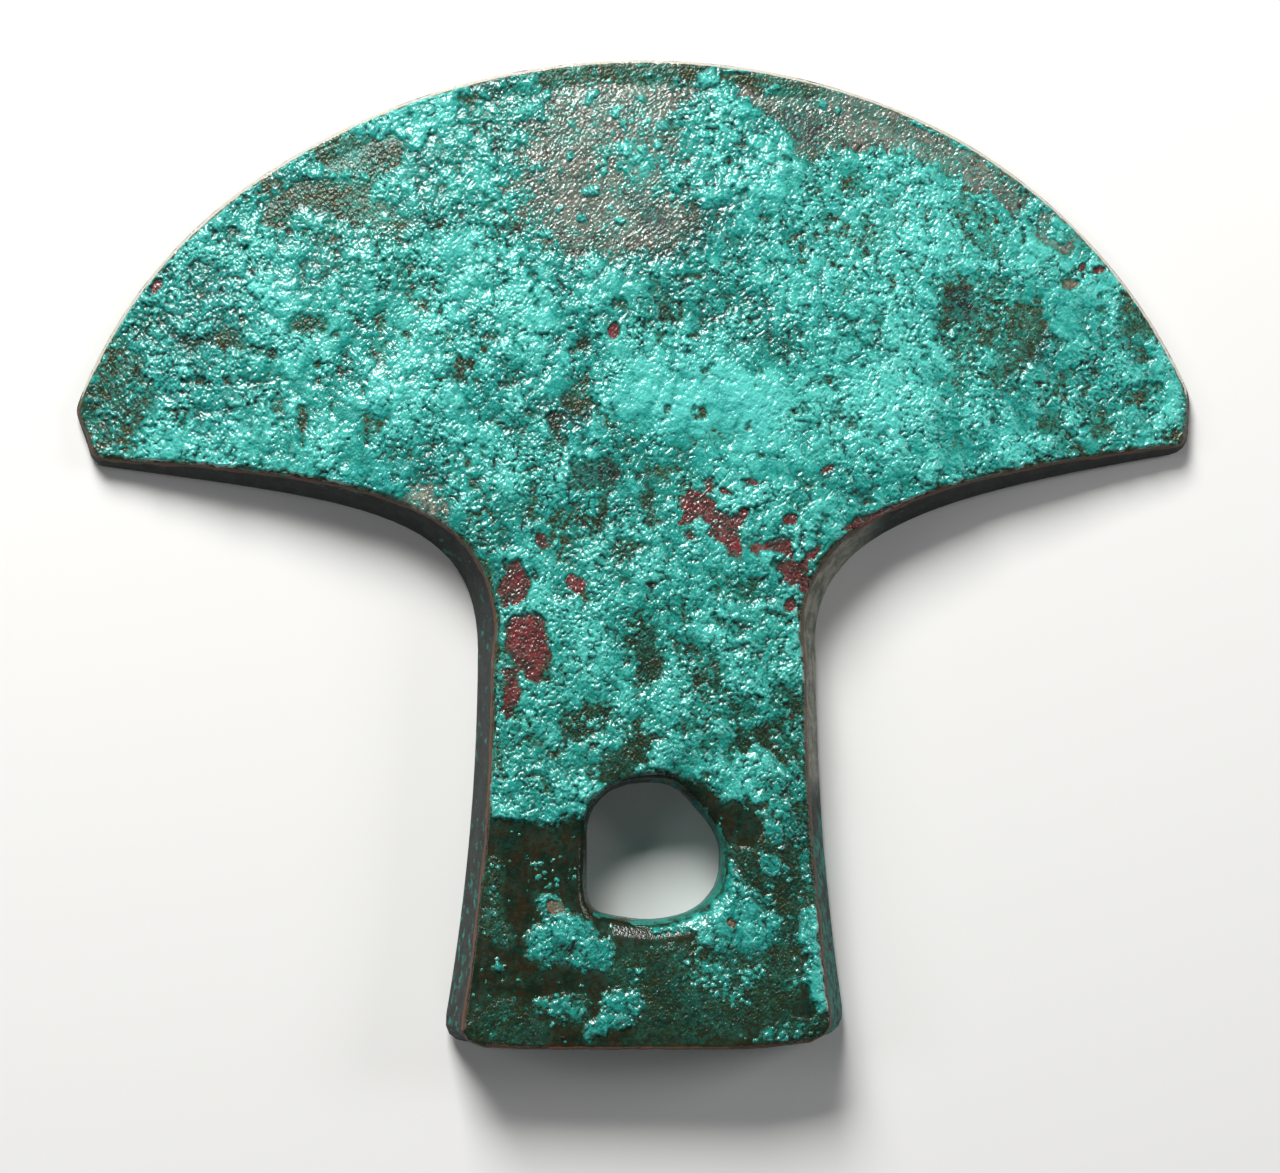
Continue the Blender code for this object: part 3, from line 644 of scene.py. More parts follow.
def crustField():
    # the crust as one grid of corners: how high each lies, on top and underneath, and what it shows
    form = crustForm
    spacing, block = form["spacing"], form["cellsPerBlock"]
    columns, rows = [(int(span / spacing / block) + 2) * block for span in (boxHigh - boxLow)[:2]]
    gridX, gridY = np.meshgrid(
        boxLow[0] + spacing * (np.arange(columns + 1) - 1), boxLow[1] + spacing * (np.arange(rows + 1) - 1)
    )
    rim = readScan("rim", gridX.ravel(), gridY.ravel()).reshape(gridX.shape)
    alive = rim > -form["rimReach"] * block * spacing

    # corners too near the rim, or beyond it, are pulled in
    x, y = gridX[alive], gridY[alive]
    pull = np.clip(form["rimGap"] - rim[alive], 0, None)
    for _ in range(2):
        x, y = x + pull * readScan("rimX", x, y), y + pull * readScan("rimY", x, y)
        pull = np.clip(form["rimGap"] - readScan("rim", x, y), 0, None)
    gridX[alive], gridY[alive] = x, y

    near = readScan("rim", x, y)
    spots = surfaceMap(x, y)
    relief = crustRelief(x, y, near, spots)
    metal = metalLevel(x, y, near)
    top = metal + np.maximum(relief["height"], form["floor"])
    top -= form["rimDip"] * (1 - softStep(form["rimGap"], 0.45, near))
    lowest = np.minimum(metal - form["rimDip"], form["lowest"])
    top = np.minimum(np.maximum(top, lowest), boxHigh[2] - form["headroom"])
    under = np.minimum(metal - form["thickness"], top - form["thinnest"])
    shown = np.where(rim[alive] > form["rimGap"], relief["height"], form["nowhere"])
    topGrid = onGrid(top, alive)
    slopeY, slopeX = np.gradient(topGrid, spacing)
    lean = np.dstack([-slopeX, -slopeY, np.ones(gridX.shape)])
    lean /= np.linalg.norm(lean, axis=2)[:, :, None]
    values = {}
    for name in ("crust", "bright", "shade", "smooth", "cavity", "worn", *shownKinds):
        values[name] = onGrid(relief[name] if name in relief else spots[name], alive).ravel()
    return {
        "x": gridX, "y": gridY, "alive": alive, "values": values, "lean": lean.reshape(-1, 3),
        "top": topGrid, "under": onGrid(under, alive), "shown": onGrid(shown, alive, form["nowhere"]),
    }


def blockOwners(field):
    # the sheet of each block of cells, or -1 where no crust shows
    block = crustForm["cellsPerBlock"]
    rows, columns = np.array(field["alive"].shape) - 1
    most = np.full((rows // block, columns // block), crustForm["nowhere"])
    whole = np.ones(most.shape, bool)
    for down in range(block + 1):
        for across in range(block + 1):
            part = np.s_[down:down + rows - block + 1:block, across:across + columns - block + 1:block]
            most = np.maximum(most, field["shown"][part])
            whole &= field["alive"][part]
    half = block * crustForm["spacing"] / 2
    sheet = sheetOf(field["x"][:-1:block, :-1:block] + half, field["y"][:-1:block, :-1:block] + half)
    return np.where((most > crustForm["shownFrom"]) & whole, sheet, -1)


def sheetTriangles(mine, numbers):
    # the sheet's top, then its underside and walls, with numbers past the grid's for the underside
    block = crustForm["cellsPerBlock"]
    row, column = np.nonzero(mine)
    j0, i0 = row * block, column * block
    parts = []
    for down in range(block):
        for across in range(block):
            j, i = j0 + down, i0 + across
            p, q, r, s = numbers[j, i], numbers[j, i + 1], numbers[j + 1, i + 1], numbers[j + 1, i]
            odd = ((j + i) % 2 == 1)[:, None]
            parts.append(np.where(odd, np.column_stack([p, q, r]), np.column_stack([p, q, s])))
            parts.append(np.where(odd, np.column_stack([p, r, s]), np.column_stack([q, r, s])))
    topCount = len(parts) * len(row)
    below = numbers + numbers.size
    p, q = below[j0, i0], below[j0, i0 + block]
    r, s = below[j0 + block, i0 + block], below[j0 + block, i0]
    parts += [np.column_stack([r, q, p]), np.column_stack([s, r, p])]

    # walls, wherever the next block isn't in this sheet
    padded = np.pad(mine, 1)
    steps = np.arange(block + 1)[None]
    for down, across in ((-1, 0), (0, 1), (1, 0), (0, -1)):
        alone = ~padded[row + 1 + down, column + 1 + across]
        run = steps if down < 0 or across > 0 else block - steps
        j = j0[alone][:, None] + (run if across else block * (down > 0))
        i = i0[alone][:, None] + (run if down else block * (across > 0))
        edge = numbers[j, i]
        first, last = below[j, i][:, 0], below[j, i][:, -1]
        for n in range(block):
            parts.append(np.column_stack([first, edge[:, n + 1], edge[:, n]]))
        parts.append(np.column_stack([first, last, edge[:, -1]]))
    return np.vstack(parts), topCount


def setNormals(mesh, points, triangles, hidden, lean):
    # soft on top, flat on the underside and the walls
    first, second, third = [points[triangles[:, n]] for n in range(3)]
    flat = np.cross(second - first, third - first)
    flat /= np.maximum(np.linalg.norm(flat, axis=1), 1e-9)[:, None]
    normals = np.where(hidden[:, None, None], flat[:, None, :], lean[triangles])
    layer = mesh.attributes.new("custom_normal", "FLOAT_VECTOR", "CORNER")
    layer.data.foreach_set("vector", normals.astype(np.float32).ravel())
    layer = mesh.attributes.new("sharp_face", "BOOLEAN", "FACE")
    layer.data.foreach_set("value", hidden)


def crustSheet(name, field, triangles, topCount, material):
    used, triangles = np.unique(triangles, return_inverse=True)
    triangles = triangles.reshape(-1, 3)
    place = used % field["x"].size
    below = used >= field["x"].size
    level = np.where(below, field["under"].ravel()[place], field["top"].ravel()[place])
    points = np.column_stack([field["x"].ravel()[place], field["y"].ravel()[place], level])
    mesh = newMesh(name, points, triangles)
    setFloats(mesh, {key: numbers[place] for key, numbers in field["values"].items()})
    hidden = np.arange(len(triangles)) >= topCount
    setNormals(mesh, points, triangles, hidden, field["lean"][place])

    # flat map: the top takes all of it but a corner, where the hidden faces lie
    size = np.ptp(points[:, :2], axis=0).max()
    corner = ((points[:, :2] - points[:, :2].min(0)) / size)[triangles.ravel()]
    hiddenCorner = np.repeat(hidden, 3)[:, None]
    setMap(mesh, np.where(hiddenCorner, 0.002 + 0.03 * corner, 0.04 + 0.955 * corner))
    addPiece(name, mesh, material)
    print("crust sheet", name, len(triangles), "triangles")


def crustSheets(material):
    field = crustField()
    owner = blockOwners(field)
    numbers = np.arange(field["x"].size).reshape(field["x"].shape)
    for sheet, name in enumerate(sheetNames):
        triangles, topCount = sheetTriangles(owner == sheet, numbers)
        crustSheet(name, field, triangles, topCount, material)


metalForm = {
    "bareStep": 0.75, "coveredStep": 2.0, "sideStep": 1.1, "backStep": 2.6,   # longest edges
    "rounds": 6,            # of cutting edges in two
    "sideWear": 0.10,       # how far the sides are worn in
    "grainRelief": 0.07,    # on the bare granular metal
    "frontWear": 0.03,
    "backWear": 0.12,
    "chip": 0.16,           # along the arrises
    "sharpest": 42,         # degrees between faces that are still shaded softly
    "unroll": 60,           # how much of the sides' patterns a turn round the middle takes
    "holeReach": 14,
}


def tooLongEdges(form):
    form.normal_update()
    form.edges.ensure_lookup_table()
    form.verts.index_update()
    points = np.array([v.co[:] for v in form.verts]) * 1000
    ends = np.array([[v.index for v in edge.verts] for edge in form.edges])
    leans = np.array([max(face.normal.z for face in edge.link_faces) for edge in form.edges])
    length = np.linalg.norm(points[ends[:, 0]] - points[ends[:, 1]], axis=1)
    middle = points[ends].mean(1)
    x, y = middle[:, 0], middle[:, 1]
    onFront = leans > 0.3
    seen = surfaceMap(x[onFront], y[onFront])
    bare = np.zeros(len(x), bool)
    bare[onFront] = (seen["cover"] < 0.3) & (seen["grit"] < 0.45)
    bare |= readScan("rim", x, y) < 1.5
    limit = np.where(leans > -0.7, metalForm["sideStep"], metalForm["backStep"])
    limit = np.where(onFront, np.where(bare, metalForm["bareStep"], metalForm["coveredStep"]), limit)
    return [form.edges[n] for n in np.nonzero(length > limit)[0]]


def refinedMesh(node, name):
    form = weldedCopy(node)
    for _ in range(metalForm["rounds"]):
        tooLong = tooLongEdges(form)
        if not tooLong:
            break
        bmesh.ops.subdivide_edges(form, edges=tooLong, cuts=1)
        bmesh.ops.triangulate(form, faces=[face for face in form.faces if len(face.verts) > 3])
    form.normal_update()
    mesh = bpy.data.meshes.new(name)
    form.to_mesh(mesh)
    form.free()
    return mesh


def readVectors(items, field):
    numbers = np.zeros(len(items) * 3, np.float32)
    items.foreach_get(field, numbers)
    return numbers.reshape(-1, 3).astype(float)


def bodyRegions(points, normals):
    # how much each point belongs to the front, the back, the sides and the hole's wall
    x, y = points.T[:2]
    rim = readScan("rim", x, y)
    front = softStep(0.35, 0.6, normals[:, 2])
    back = softStep(0.5, 0.8, -normals[:, 2])
    fromHole = np.hypot(x - holeMiddle[0], y - holeMiddle[1])
    return {
        "rim": rim,
        "front": front,
        "back": back,
        "side": np.clip(1 - front - back, 0, 1),
        "along": np.arctan2(y, x) * metalForm["unroll"],
        "fromHole": fromHole,
        "inHole": (fromHole < metalForm["holeReach"]) * (1 - softStep(0.0, 1.2, rim)) * (np.abs(y) < 64),
    }


def wornPoints(points, normals, region, grit):
    # the metal under the crust lies a little lower than the cast face, and all of it is worn
    form = metalForm
    x, y, z = points.T
    rim, front = region["rim"], region["front"]
    moved = points.copy()
    moved[:, 2] -= crustForm["recess"] * softStep(0, crustForm["rimRecessRun"], rim) * front
    grains = domes(x + 0.3 * swells(x, y, 1.1, 5), y + 0.3 * swells(x, y, 1.1, 6), 0.95, 7)
    wear = form["grainRelief"] * grit * (1 - grains) + form["frontWear"] * (1 + roughness(x, y, 3.0, 9, 4))
    wear *= front
    wear += region["side"] * form["sideWear"] * (0.5 + 0.5 * roughness(region["along"], 2 * z, 5.0, 13, 4))
    wear += region["back"] * form["backWear"] * (0.5 + 0.5 * roughness(x, y, 7.0, 15, 4))
    nearArris = np.exp(-((rim / 0.55) ** 2)) * (normals[:, 2] > -0.2)
    wear += nearArris * form["chip"] * np.clip(roughness(x + z, y - z, 2.2, 17, 3) + 0.15, 0, 1)
    return np.clip(moved - normals * wear[:, None], boxLow, boxHigh)


def stainOn(x, y, z, region):
    # how far verdigris has stained the sides, the back and the hole's wall
    toX, toY = x - holeMiddle[0], y - holeMiddle[1]
    side, inHole = region["side"], region["inHole"]
    lowRight = np.clip((toX - 0.6 * toY) / np.maximum(region["fromHole"], 1e-3), -1, 1)
    stain = side * (1 - inHole) * (0.25 + 0.2 * roughness(region["along"], z, 6.0, 51, 3))
    stain += region["back"] * (0.56 + 0.42 * roughness(x, y, 17.0, 57, 4))
    stain += inHole * (0.48 + 0.25 * lowRight + 0.35 * swells(6 * np.arctan2(toY, toX), z, 1.5, 53))
    stain += side * 0.05 * ((x < -18) & (y < -5))
    return stain + side * 0.3 * softStep(-16, 20, x) * softStep(-30, -38, y)


def bodyLooks(points, normals, region, spots):
    # the mesh attributes that the metal's colours follow
    x, y, z = points.T
    rim, front, side, inHole = [region[name] for name in ("rim", "front", "side", "inHole")]
    bladeEdge = softStep(16, 24, y) * (normals[:, 1] > -0.25)
    copperLine = np.exp(-(((rim - 0.02) / 0.20) ** 2)) * (1 - bladeEdge) * (inHole < 0.3)
    neckRight = softStep(8, 12, x) * softStep(34, 26, x) * softStep(14, 8, y) * softStep(-34, -26, y)
    # a painted reflection: the right side of the neck is given pale slate and white
    paintedReflection = side * (1 - inHole) * neckRight
    values = {kind: spots[kind] * np.clip(front + 0.001, 0, 1) for kind in shownKinds}
    # the other sides take the dark kind, partly the metal's own dark and partly painted shade
    for kind, more in (
        ("slate", paintedReflection), ("white", 0.8 * paintedReflection), ("brown", inHole),
        ("dark", side * (1 - inHole) - paintedReflection),
    ):
        values[kind] = np.clip(values[kind] + more, 0, 1)
    stain = stainOn(x, y, z, region) + 0.22 * front * np.clip(spots["cover"] + 0.4, 0, 1)
    values["worn"] = wornEdge(y, rim) * bladeEdge * np.clip(normals[:, 2] + 0.6, 0, 1)
    values["copperLine"] = copperLine * softStep(0.1, 0.35, normals[:, 2])
    values["dusty"] = 0.55 * front * (1 - inHole) * softStep(0.0, 0.8, rim)
    values["patina"] = np.clip(stain, 0, 1)
    return values


def bodyMap(mesh, points):
    # flat map: front and back side by side, the sides and the hole's wall unrolled above them
    triangles = np.array([face.vertices[:] for face in mesh.polygons])
    lean = readVectors(mesh.polygons, "normal")[:, 2]
    spot = points[triangles]
    middle = spot.mean(1)
    wide, tall = (boxHigh - boxLow)[:2]
    total = 2 * wide + 4
    nearHole = np.hypot(middle[:, 0] - holeMiddle[0], middle[:, 1] - holeMiddle[1]) < metalForm["holeReach"]
    isFront = lean > 0.35
    isBack = lean < -0.6
    isSide = ~isFront & ~isBack
    frontPlace = spot[:, :, :2] - boxLow[:2]
    backPlace = np.stack([boxHigh[0] - spot[:, :, 0] + wide + 4, frontPlace[:, :, 1]], axis=2)
    place = np.where(isBack[:, None, None], backPlace, frontPlace)
    for chosen, (midX, midY), row, quarters, stretch in (
        (isSide & ~nearHole, (0, 0), 0, 4, 84), (isSide & nearHole, holeMiddle, 4, 1, 12)
    ):
        turn = np.arctan2(spot[chosen][:, :, 1] - midY, spot[chosen][:, :, 0] - midX)
        mid = np.arctan2(middle[chosen][:, 1] - midY, middle[chosen][:, 0] - midX)[:, None]
        turn = mid + (turn - mid + math.pi) % (2 * math.pi) - math.pi
        quarter = np.floor((mid + math.pi) / (math.pi / 2)).clip(0, quarters - 1)
        u = 6 + (turn + math.pi - quarter * math.pi / 2) * stretch
        v = tall + 8 + (row + quarter) * 16 + spot[chosen][:, :, 2]
        place[chosen] = np.stack([u, v], axis=2)
    setMap(mesh, np.clip(place / total, 0, 1).reshape(-1, 2))


def metalBody(node, material):
    mesh = refinedMesh(node, "copper_body")
    points = readVectors(mesh.vertices, "co") * 1000
    normals = readVectors(mesh.vertices, "normal")
    region = bodyRegions(points, normals)
    spots = surfaceMap(points[:, 0], points[:, 1])
    moved = wornPoints(points, normals, region, spots["grit"])
    mesh.vertices.foreach_set("co", (moved / 1000).astype(np.float32).ravel())
    setFloats(mesh, bodyLooks(points, normals, region, spots))
    bodyMap(mesh, moved)
    mesh.shade_smooth()
    mesh.set_sharp_from_angle(angle=math.radians(metalForm["sharpest"]))
    piece = addPiece("copper_body", mesh, material)
    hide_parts("axe_head")
    print("metal body", len(mesh.polygons), "triangles")


def addNode(tree, kind, **settings):
    node = tree.nodes.new(kind)
    for name, value in settings.items():
        setattr(node, name, value)
    return node


def feed(tree, socket, value):
    if isinstance(value, bpy.types.NodeSocket):
        tree.links.new(value, socket)
    elif isinstance(value, tuple) and len(value) == 3:
        socket.default_value = (*value, 1.0)
    else:
        socket.default_value = value


def mixColour(tree, share, first, second, way="MIX"):
    node = addNode(tree, "ShaderNodeMix", data_type="RGBA", blend_type=way)
    for n, value in ((0, share), (6, first), (7, second)):
        feed(tree, node.inputs[n], value)
    return node.outputs[2]


def blend(tree, share, first, second):
    node = addNode(tree, "ShaderNodeMix", data_type="FLOAT")
    for n, value in ((0, share), (2, first), (3, second)):
        feed(tree, node.inputs[n], value)
    return node.outputs[0]


def sums(tree, operation, *values, clamp=False):
    node = addNode(tree, "ShaderNodeMath", operation=operation, use_clamp=clamp)
    for n, value in enumerate(values):
        feed(tree, node.inputs[n], value)
    return node.outputs[0]


def times(tree, first, second):
    return sums(tree, "MULTIPLY", first, second)


def scaled(tree, value, factor, base):
    return sums(tree, "MULTIPLY_ADD", value, factor, base)


def swayed(tree, value, amount, base):
    # the base, moved up and down by a value that runs from 0 to 1
    return scaled(tree, sums(tree, "SUBTRACT", value, 0.5), amount, base)


def largest(tree, first, *others):
    for other in others:
        first = sums(tree, "MAXIMUM", first, other)
    return first


def between(tree, value, low, high, toLow=0.0, toHigh=1.0):
    node = addNode(tree, "ShaderNodeMapRange", interpolation_type="SMOOTHSTEP")
    for n, part in enumerate((value, low, high, toLow, toHigh)):
        feed(tree, node.inputs[n], part)
    return node.outputs[0]


def noise(tree, place, scale, detail, rough):
    node = addNode(tree, "ShaderNodeTexNoise")
    for name, value in (("Vector", place), ("Scale", scale), ("Detail", detail), ("Roughness", rough)):
        feed(tree, node.inputs[name], value)
    return node.outputs[0]


def cells(tree, place, scale):
    node = addNode(tree, "ShaderNodeTexVoronoi")
    feed(tree, node.inputs["Vector"], place)
    feed(tree, node.inputs["Scale"], scale)
    return node


def fromMesh(tree, name):
    return addNode(tree, "ShaderNodeAttribute", attribute_name=name).outputs["Fac"]


def bareKinds(tree):
    return {kind: fromMesh(tree, kind) for kind in shownKinds}


def newGroup(name, inputs, *outputs):
    # every group takes a place first, then numbers, and gives a colour or numbers
    group = bpy.data.node_groups.new(name, "ShaderNodeTree")
    group.interface.new_socket("Place", in_out="INPUT", socket_type="NodeSocketVector")
    for label, value in inputs.items():
        socket = group.interface.new_socket(label, in_out="INPUT", socket_type="NodeSocketFloat")
        socket.default_value = value
    for label in outputs:
        kind = "NodeSocketColor" if label == "Colour" else "NodeSocketFloat"
        group.interface.new_socket(label, in_out="OUTPUT", socket_type=kind)
    return group, group.nodes.new("NodeGroupInput").outputs, group.nodes.new("NodeGroupOutput").inputs


def useGroup(tree, group, **values):
    node = addNode(tree, "ShaderNodeGroup", node_tree=group)
    for name, value in values.items():
        feed(tree, node.inputs[name], value)
    return node.outputs


def grainGroup():
    # crystalline grain: small domes with finer grit on them
    group, given, out = newGroup("crystalGrain", {"Size": 0.0005, "Grit": 0.4}, "Height", "Speck")
    scale = sums(group, "DIVIDE", 1.0, given["Size"])
    large = cells(group, given["Place"], scale)
    small = cells(group, given["Place"], times(group, scale, 2.3))
    dome = sums(group, "SUBTRACT", 1.0, large.outputs["Distance"], clamp=True)
    smallDome = sums(group, "SUBTRACT", 1.0, small.outputs["Distance"], clamp=True)
    group.links.new(scaled(group, smallDome, given["Grit"], dome), out["Height"])
    speck = addNode(group, "ShaderNodeSeparateColor")
    group.links.new(small.outputs["Color"], speck.inputs[0])
    group.links.new(speck.outputs[0], out["Speck"])
    return group


# The crust's colours, bright green and duller green.
crustTones = {
    "deep": ((0.004, 0.080, 0.072), (0.006, 0.058, 0.030)),
    "full": ((0.011, 0.290, 0.256), (0.016, 0.215, 0.140)),
    "pale": ((0.085, 0.560, 0.500), (0.062, 0.430, 0.330)),
    # the near-black that the crust's creases are darkened towards, as painted shade
    "creaseShade": (0.001, 0.014, 0.011),
}


def verdigrisGroup():
    # the crust's colours, from its dark creases (painted shade) to its pale tops (painted light)
    group, given, out = newGroup("verdigrisTones", {"Bright": 0.6, "Shade": 0.1, "Cavity": 0.5}, "Colour")
    mottle = noise(group, given["Place"], 420.0, 4.0, 0.62)
    dust = noise(group, given["Place"], 2600.0, 2.0, 0.6)
    light = swayed(group, mottle, 0.9, given["Bright"])
    light = swayed(group, dust, 0.5, light)
    # painted light: lighter where Cavity is high, on the tops
    light = swayed(group, given["Cavity"], 0.5, light)
    deep, full, pale = [
        mixColour(group, given["Shade"], *crustTones[name]) for name in ("deep", "full", "pale")
    ]
    colour = mixColour(group, between(group, light, 0.05, 0.6), deep, full)
    colour = mixColour(group, between(group, light, 0.5, 1.1), colour, pale)
    # painted shade: darker where Cavity is low, in the creases
    creaseShade = between(group, given["Cavity"], 0.24, 0.55)
    dark = mixColour(group, 0.94, colour, crustTones["creaseShade"])
    group.links.new(mixColour(group, creaseShade, dark, colour), out["Colour"])
    return group


# Two tones for each kind of bare metal, mottled together.
metalTones = {
    "olive": ((0.042, 0.047, 0.016), (0.013, 0.034, 0.014)),
    "brown": ((0.025, 0.018, 0.008), (0.007, 0.017, 0.009)),
    "moss": ((0.008, 0.030, 0.018), (0.022, 0.035, 0.013)),
    "green": ((0.007, 0.040, 0.022), (0.024, 0.062, 0.030)),
    "grey": ((0.186, 0.192, 0.160), (0.072, 0.094, 0.074)),
    "slate": ((0.064, 0.070, 0.064), (0.030, 0.040, 0.036)),
    "dark": ((0.012, 0.016, 0.014), (0.022, 0.032, 0.028)),
    "white": ((0.360, 0.360, 0.300), (0.140, 0.160, 0.120)),
    "red": ((0.205, 0.030, 0.036), (0.050, 0.025, 0.020)),
    "copper": ((0.420, 0.160, 0.085), (0.220, 0.070, 0.040)),
}


def metalGroup():
    # the bare metal: olive, and each other kind where its mask is, darkened where Cavity is low as painted
    # shade
    group, given, out = newGroup("metalTones", {"Cavity": 1.0, **dict.fromkeys(shownKinds, 0.0)}, "Colour")
    mottle = between(group, noise(group, given["Place"], 480.0, 5.0, 0.68), 0.38, 0.62)
    colour = None
    for kind, tones in metalTones.items():
        tone = mixColour(group, mottle, *tones)
        colour = tone if colour is None else mixColour(group, given[kind], colour, tone)
    # painted shade in the creases of the bare metal
    creaseShade = between(group, given["Cavity"], 0.08, 0.6, 0.12, 1.0)
    group.links.new(mixColour(group, 1.0, colour, creaseShade, "MULTIPLY"), out["Colour"])
    return group


def crispGroup():
    # a soft mask with its edge broken up and made sharp
    group, given, out = newGroup("crispEdge", {"Mask": 0.0, "Break": 0.5, "Scale": 1500.0}, "Mask")
    ragged = noise(group, given["Place"], given["Scale"], 3.0, 0.6)
    shifted = swayed(group, ragged, given["Break"], given["Mask"])
    group.links.new(between(group, shifted, 0.42, 0.58), out["Mask"])
    return group


grain = grainGroup()
verdigris = verdigrisGroup()
crisp = crispGroup()
bareMetal = metalGroup()

# the cutting edge's pale colour is partly a painted highlight; the line along the arrises is bare copper
edgeTones = {"worn": (0.66, 0.62, 0.54), "line": (0.14, 0.045, 0.022)}

# Masks with broken edges: how broken, and how many breaks to a metre.
brokenEdges = {
    "crust": (1.0, 2000.0), "worn": (0.75, 700.0), "patina": (1.5, 620.0), "copperLine": (1.4, 420.0),
}
crustFinish = {
    "roughness": 0.20, "smoothRoughness": 0.38, "creaseRoughness": 0.7, "wetRoughness": 0.10,
    "specular": 0.3, "grainSize": 0.00032, "grit": 0.4, "grainDepth": 0.00005, "sparkle": 0.16, "worn": 0.7,
}
metalFinish = {
    "roughness": 0.20, "stainRoughness": 0.5, "dullRoughness": 0.85, "lineRoughness": 0.6,
    "grainSize": 0.00042, "grit": 0.6, "grainDepth": 0.00008, "sparkle": 0.12, "worn": 0.8,
}


def crispMask(tree, place, name):
    ragged, scale = brokenEdges[name]
    return useGroup(tree, crisp, Place=place, Mask=fromMesh(tree, name), Break=ragged, Scale=scale)["Mask"]


def dustOn(tree, place, kinds, strength):
    # crust in crumbs too small to model, less of it on the red, the moss and the brown
    clusters = scaled(tree, noise(tree, place, 260.0, 2.0, 0.6), 1.0, 0.5)
    crumbs = times(tree, noise(tree, place, 1500.0, 3.0, 0.7), clusters)
    dust = times(tree, between(tree, crumbs, 0.42, 0.58), strength)
    for kind, less in (("red", 0.8), ("moss", 0.6), ("brown", 0.84)):
        dust = times(tree, dust, scaled(tree, kinds[kind], -less, 1.0))
    return dust


def newMaterial(name):
    material = bpy.data.materials.new(name)
    material.use_nodes = True
    tree = material.node_tree
    return material, tree, tree.nodes["Principled BSDF"].inputs


def setColour(tree, shader, place, colour, shine):
    # the colour, with bright metal where the cutting edge is worn; its pale colour is partly a painted
    # highlight
    worn = crispMask(tree, place, "worn")
    feed(tree, shader["Base Color"], mixColour(tree, worn, colour, edgeTones["worn"]))
    feed(tree, shader["Metallic"], times(tree, worn, shine))


def setBump(tree, shader, height, depth):
    bump = addNode(tree, "ShaderNodeBump")
    bump.inputs["Strength"].default_value = 1.0
    bump.inputs["Distance"].default_value = depth
    feed(tree, bump.inputs["Height"], height)
    feed(tree, shader["Normal"], bump.outputs["Normal"])


def crustMaterial():
    finish = crustFinish
    material, tree, shader = newMaterial("verdigris_crust")
    place = addNode(tree, "ShaderNodeTexCoord").outputs["Object"]
    cavity, cover, smooth = [fromMesh(tree, name) for name in ("cavity", "crust", "smooth")]
    bright, shade = fromMesh(tree, "bright"), fromMesh(tree, "shade")
    # both the crust and the bare metal between it darken in the creases with cavity, as painted shade
    tones = useGroup(tree, verdigris, Place=place, Bright=bright, Shade=shade, Cavity=cavity)
    kinds = bareKinds(tree)
    under = useGroup(tree, bareMetal, Place=place, Cavity=cavity, **kinds)
    grit = useGroup(tree, grain, Place=place, Size=finish["grainSize"], Grit=finish["grit"])
    solid = crispMask(tree, place, "crust")
    dust = dustOn(tree, place, kinds, between(tree, cover, 0.0, 0.35, 0.55, 0.85))
    colour = mixColour(tree, largest(tree, solid, dust), under["Colour"], tones["Colour"])
    setColour(tree, shader, place, colour, finish["worn"])

    rough = blend(tree, smooth, finish["roughness"], finish["smoothRoughness"])
    rough = blend(tree, between(tree, cavity, 0.1, 0.6), finish["creaseRoughness"], rough)
    feed(tree, shader["Roughness"], swayed(tree, grit["Speck"], finish["sparkle"], rough))
    wet = largest(tree, solid, kinds["grey"], kinds["white"], kinds["red"])
    shine = times(tree, between(tree, cavity, 0.2, 0.62), between(tree, wet, 0.0, 1.0, 0.25, 1.0))
    shine = times(tree, shine, between(tree, smooth, 0.1, 0.9, 1.0, 0.45))
    feed(tree, shader["Coat Weight"], shine)
    shader["Coat Roughness"].default_value = finish["wetRoughness"]
    shader["Specular IOR Level"].default_value = finish["specular"]
    setBump(tree, shader, grit["Height"], finish["grainDepth"])
    return material


def metalMaterial():
    finish = metalFinish
    material, tree, shader = newMaterial("bare_copper")
    place = addNode(tree, "ShaderNodeTexCoord").outputs["Object"]
    mottle = noise(tree, place, 700.0, 4.0, 0.65)
    grit = useGroup(tree, grain, Place=place, Size=finish["grainSize"], Grit=finish["grit"])
    kinds = bareKinds(tree)
    colour = useGroup(tree, bareMetal, Place=place, **kinds)["Colour"]

    # verdigris that is only a stain or dust on the metal
    stain = crispMask(tree, place, "patina")
    tones = useGroup(tree, verdigris, Place=place, Bright=0.38, Shade=0.45, Cavity=mottle)
    dust = dustOn(tree, place, kinds, fromMesh(tree, "dusty"))
    colour = mixColour(tree, largest(tree, times(tree, stain, 0.85), dust), colour, tones["Colour"])

    # a line of bare copper along the arrises
    line = crispMask(tree, place, "copperLine")
    colour = mixColour(tree, times(tree, line, 0.7), colour, edgeTones["line"])
    setColour(tree, shader, place, colour, finish["worn"])

    rough = blend(tree, stain, finish["roughness"], finish["stainRoughness"])
    rough = blend(tree, largest(tree, kinds["slate"], kinds["dark"]), rough, finish["dullRoughness"])
    rough = blend(tree, line, rough, finish["lineRoughness"])
    feed(tree, shader["Roughness"], swayed(tree, grit["Speck"], finish["sparkle"], rough))
    granular = sums(tree, "ADD", kinds["grey"], sums(tree, "ADD", kinds["red"], kinds["white"]), clamp=True)
    relief = scaled(tree, stain, 0.35, scaled(tree, granular, 0.66, 0.30))
    height = scaled(tree, mottle, 0.5, times(tree, grit["Height"], relief))
    setBump(tree, shader, height, finish["grainDepth"])
    return material


crust = crustMaterial()
metal = metalMaterial()
print("materials made")
metalBody(axeNode, metal)
crustSheets(crust)

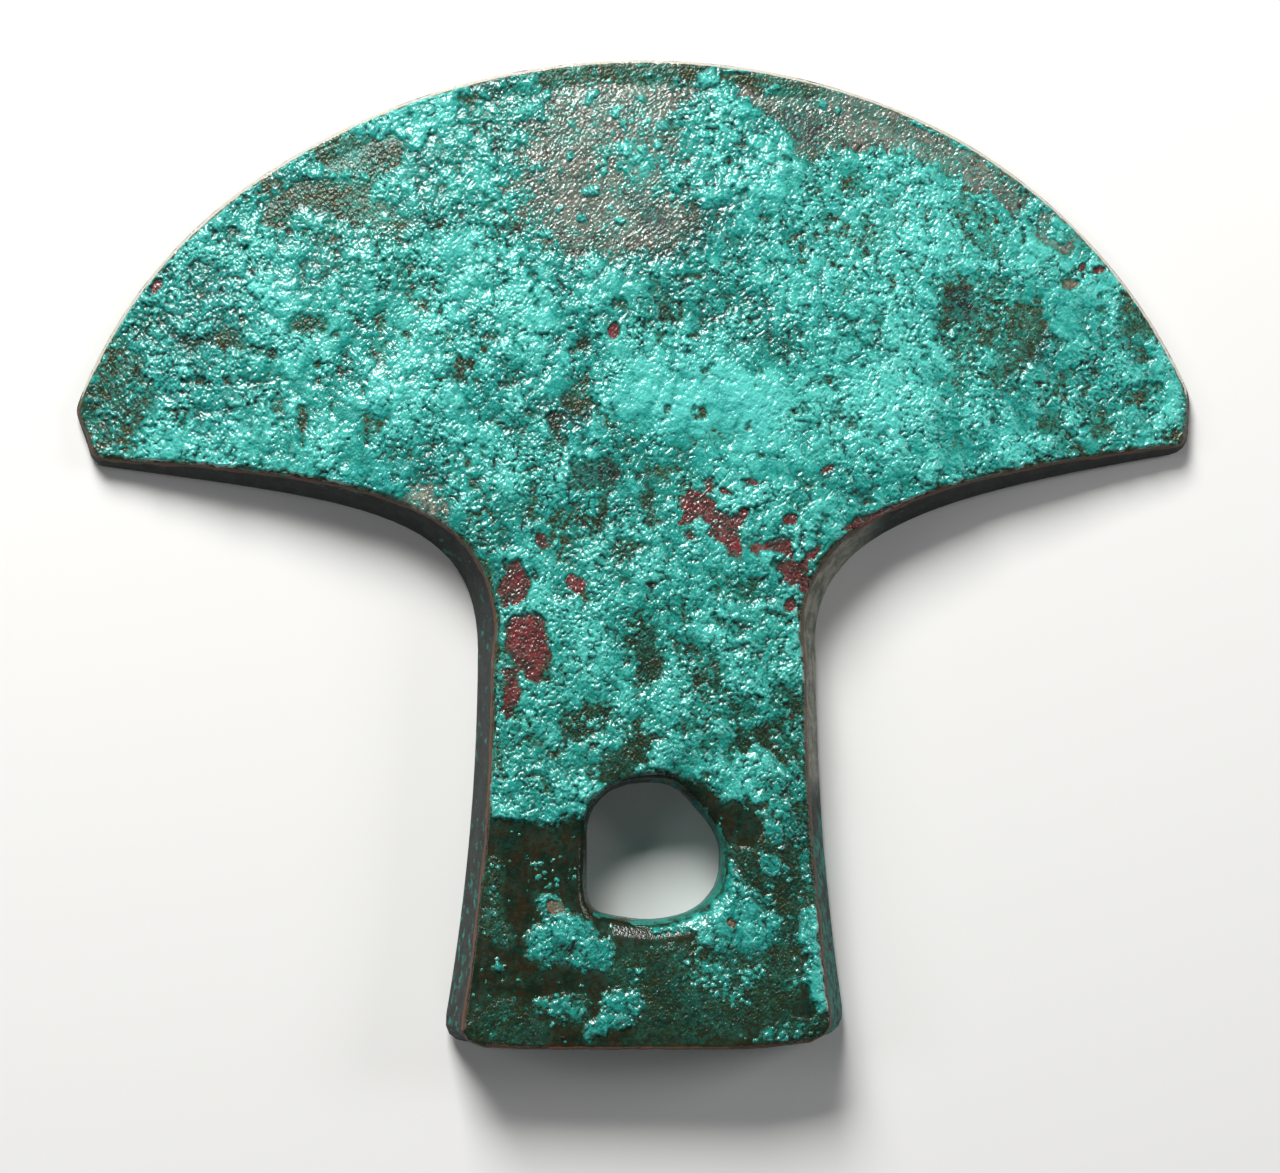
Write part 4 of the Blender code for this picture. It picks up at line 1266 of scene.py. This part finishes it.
floorLook = {"half": 2.0, "level": -0.0001, "colour": (0.86, 0.86, 0.85), "roughness": 0.8}


def addFloor():
    half, level = floorLook["half"], floorLook["level"]
    corners = [(-half, -half, level), (half, -half, level), (half, half, level), (-half, half, level)]
    mesh = bpy.data.meshes.new("floor")
    mesh.from_pydata(corners, [], [(0, 1, 2, 3)])
    material, tree, shader = newMaterial("pale_floor")
    feed(tree, shader["Base Color"], floorLook["colour"])
    feed(tree, shader["Roughness"], floorLook["roughness"])
    mesh.materials.append(material)
    floor = newObject("floor", mesh)


# Each light: place, size, power and colour, all looking at the middle of the axe head.
studioLights = {
    "keyTop": ((-0.20, 0.64, 0.50), 0.34, 10.7, (1.0, 0.99, 0.97)),
    "keyLeft": ((-0.70, 0.10, 0.55), 0.30, 0.8, (1.0, 1.0, 1.0)),
    "keyRight": ((0.72, 0.20, 0.45), 0.30, 1.5, (1.0, 1.0, 1.0)),
    "fillLow": ((0.10, -0.70, 0.50), 0.35, 0.5, (0.97, 0.99, 1.0)),
}
room = {"colour": (0.95, 0.97, 1.0, 1), "strength": 0.05}


def addLights():
    for name, (place, size, power, colour) in studioLights.items():
        light = bpy.data.lights.new(name, "AREA")
        light.shape = "SQUARE"
        light.size = size
        light.energy = power
        light.color = colour
        lamp = newObject(name, light)
        lamp.location = place
        lamp.rotation_euler = (-Vector(place)).to_track_quat("-Z", "Y").to_euler()
    world = bpy.data.worlds.new("softRoom")
    world.use_nodes = True
    world.node_tree.nodes["Background"].inputs["Color"].default_value = room["colour"]
    world.node_tree.nodes["Background"].inputs["Strength"].default_value = room["strength"]
    bpy.context.scene.world = world
    bpy.context.scene.view_settings.view_transform = "Standard"


def addCamera():
    lens = bpy.data.cameras.new("photoCamera")
    lens.lens = photoView["lens"]
    lens.sensor_width = photoView["sensorWidth"]
    camera = newObject("photoCamera", lens)
    camera.rotation_euler = Matrix((lookRight, lookUp, -lookAlong)).transposed().to_euler()
    camera.location = Vector(photoView["eye"]) / 1000
    bpy.context.scene.camera = camera


addFloor()
addLights()
addCamera()
print("light and camera set")
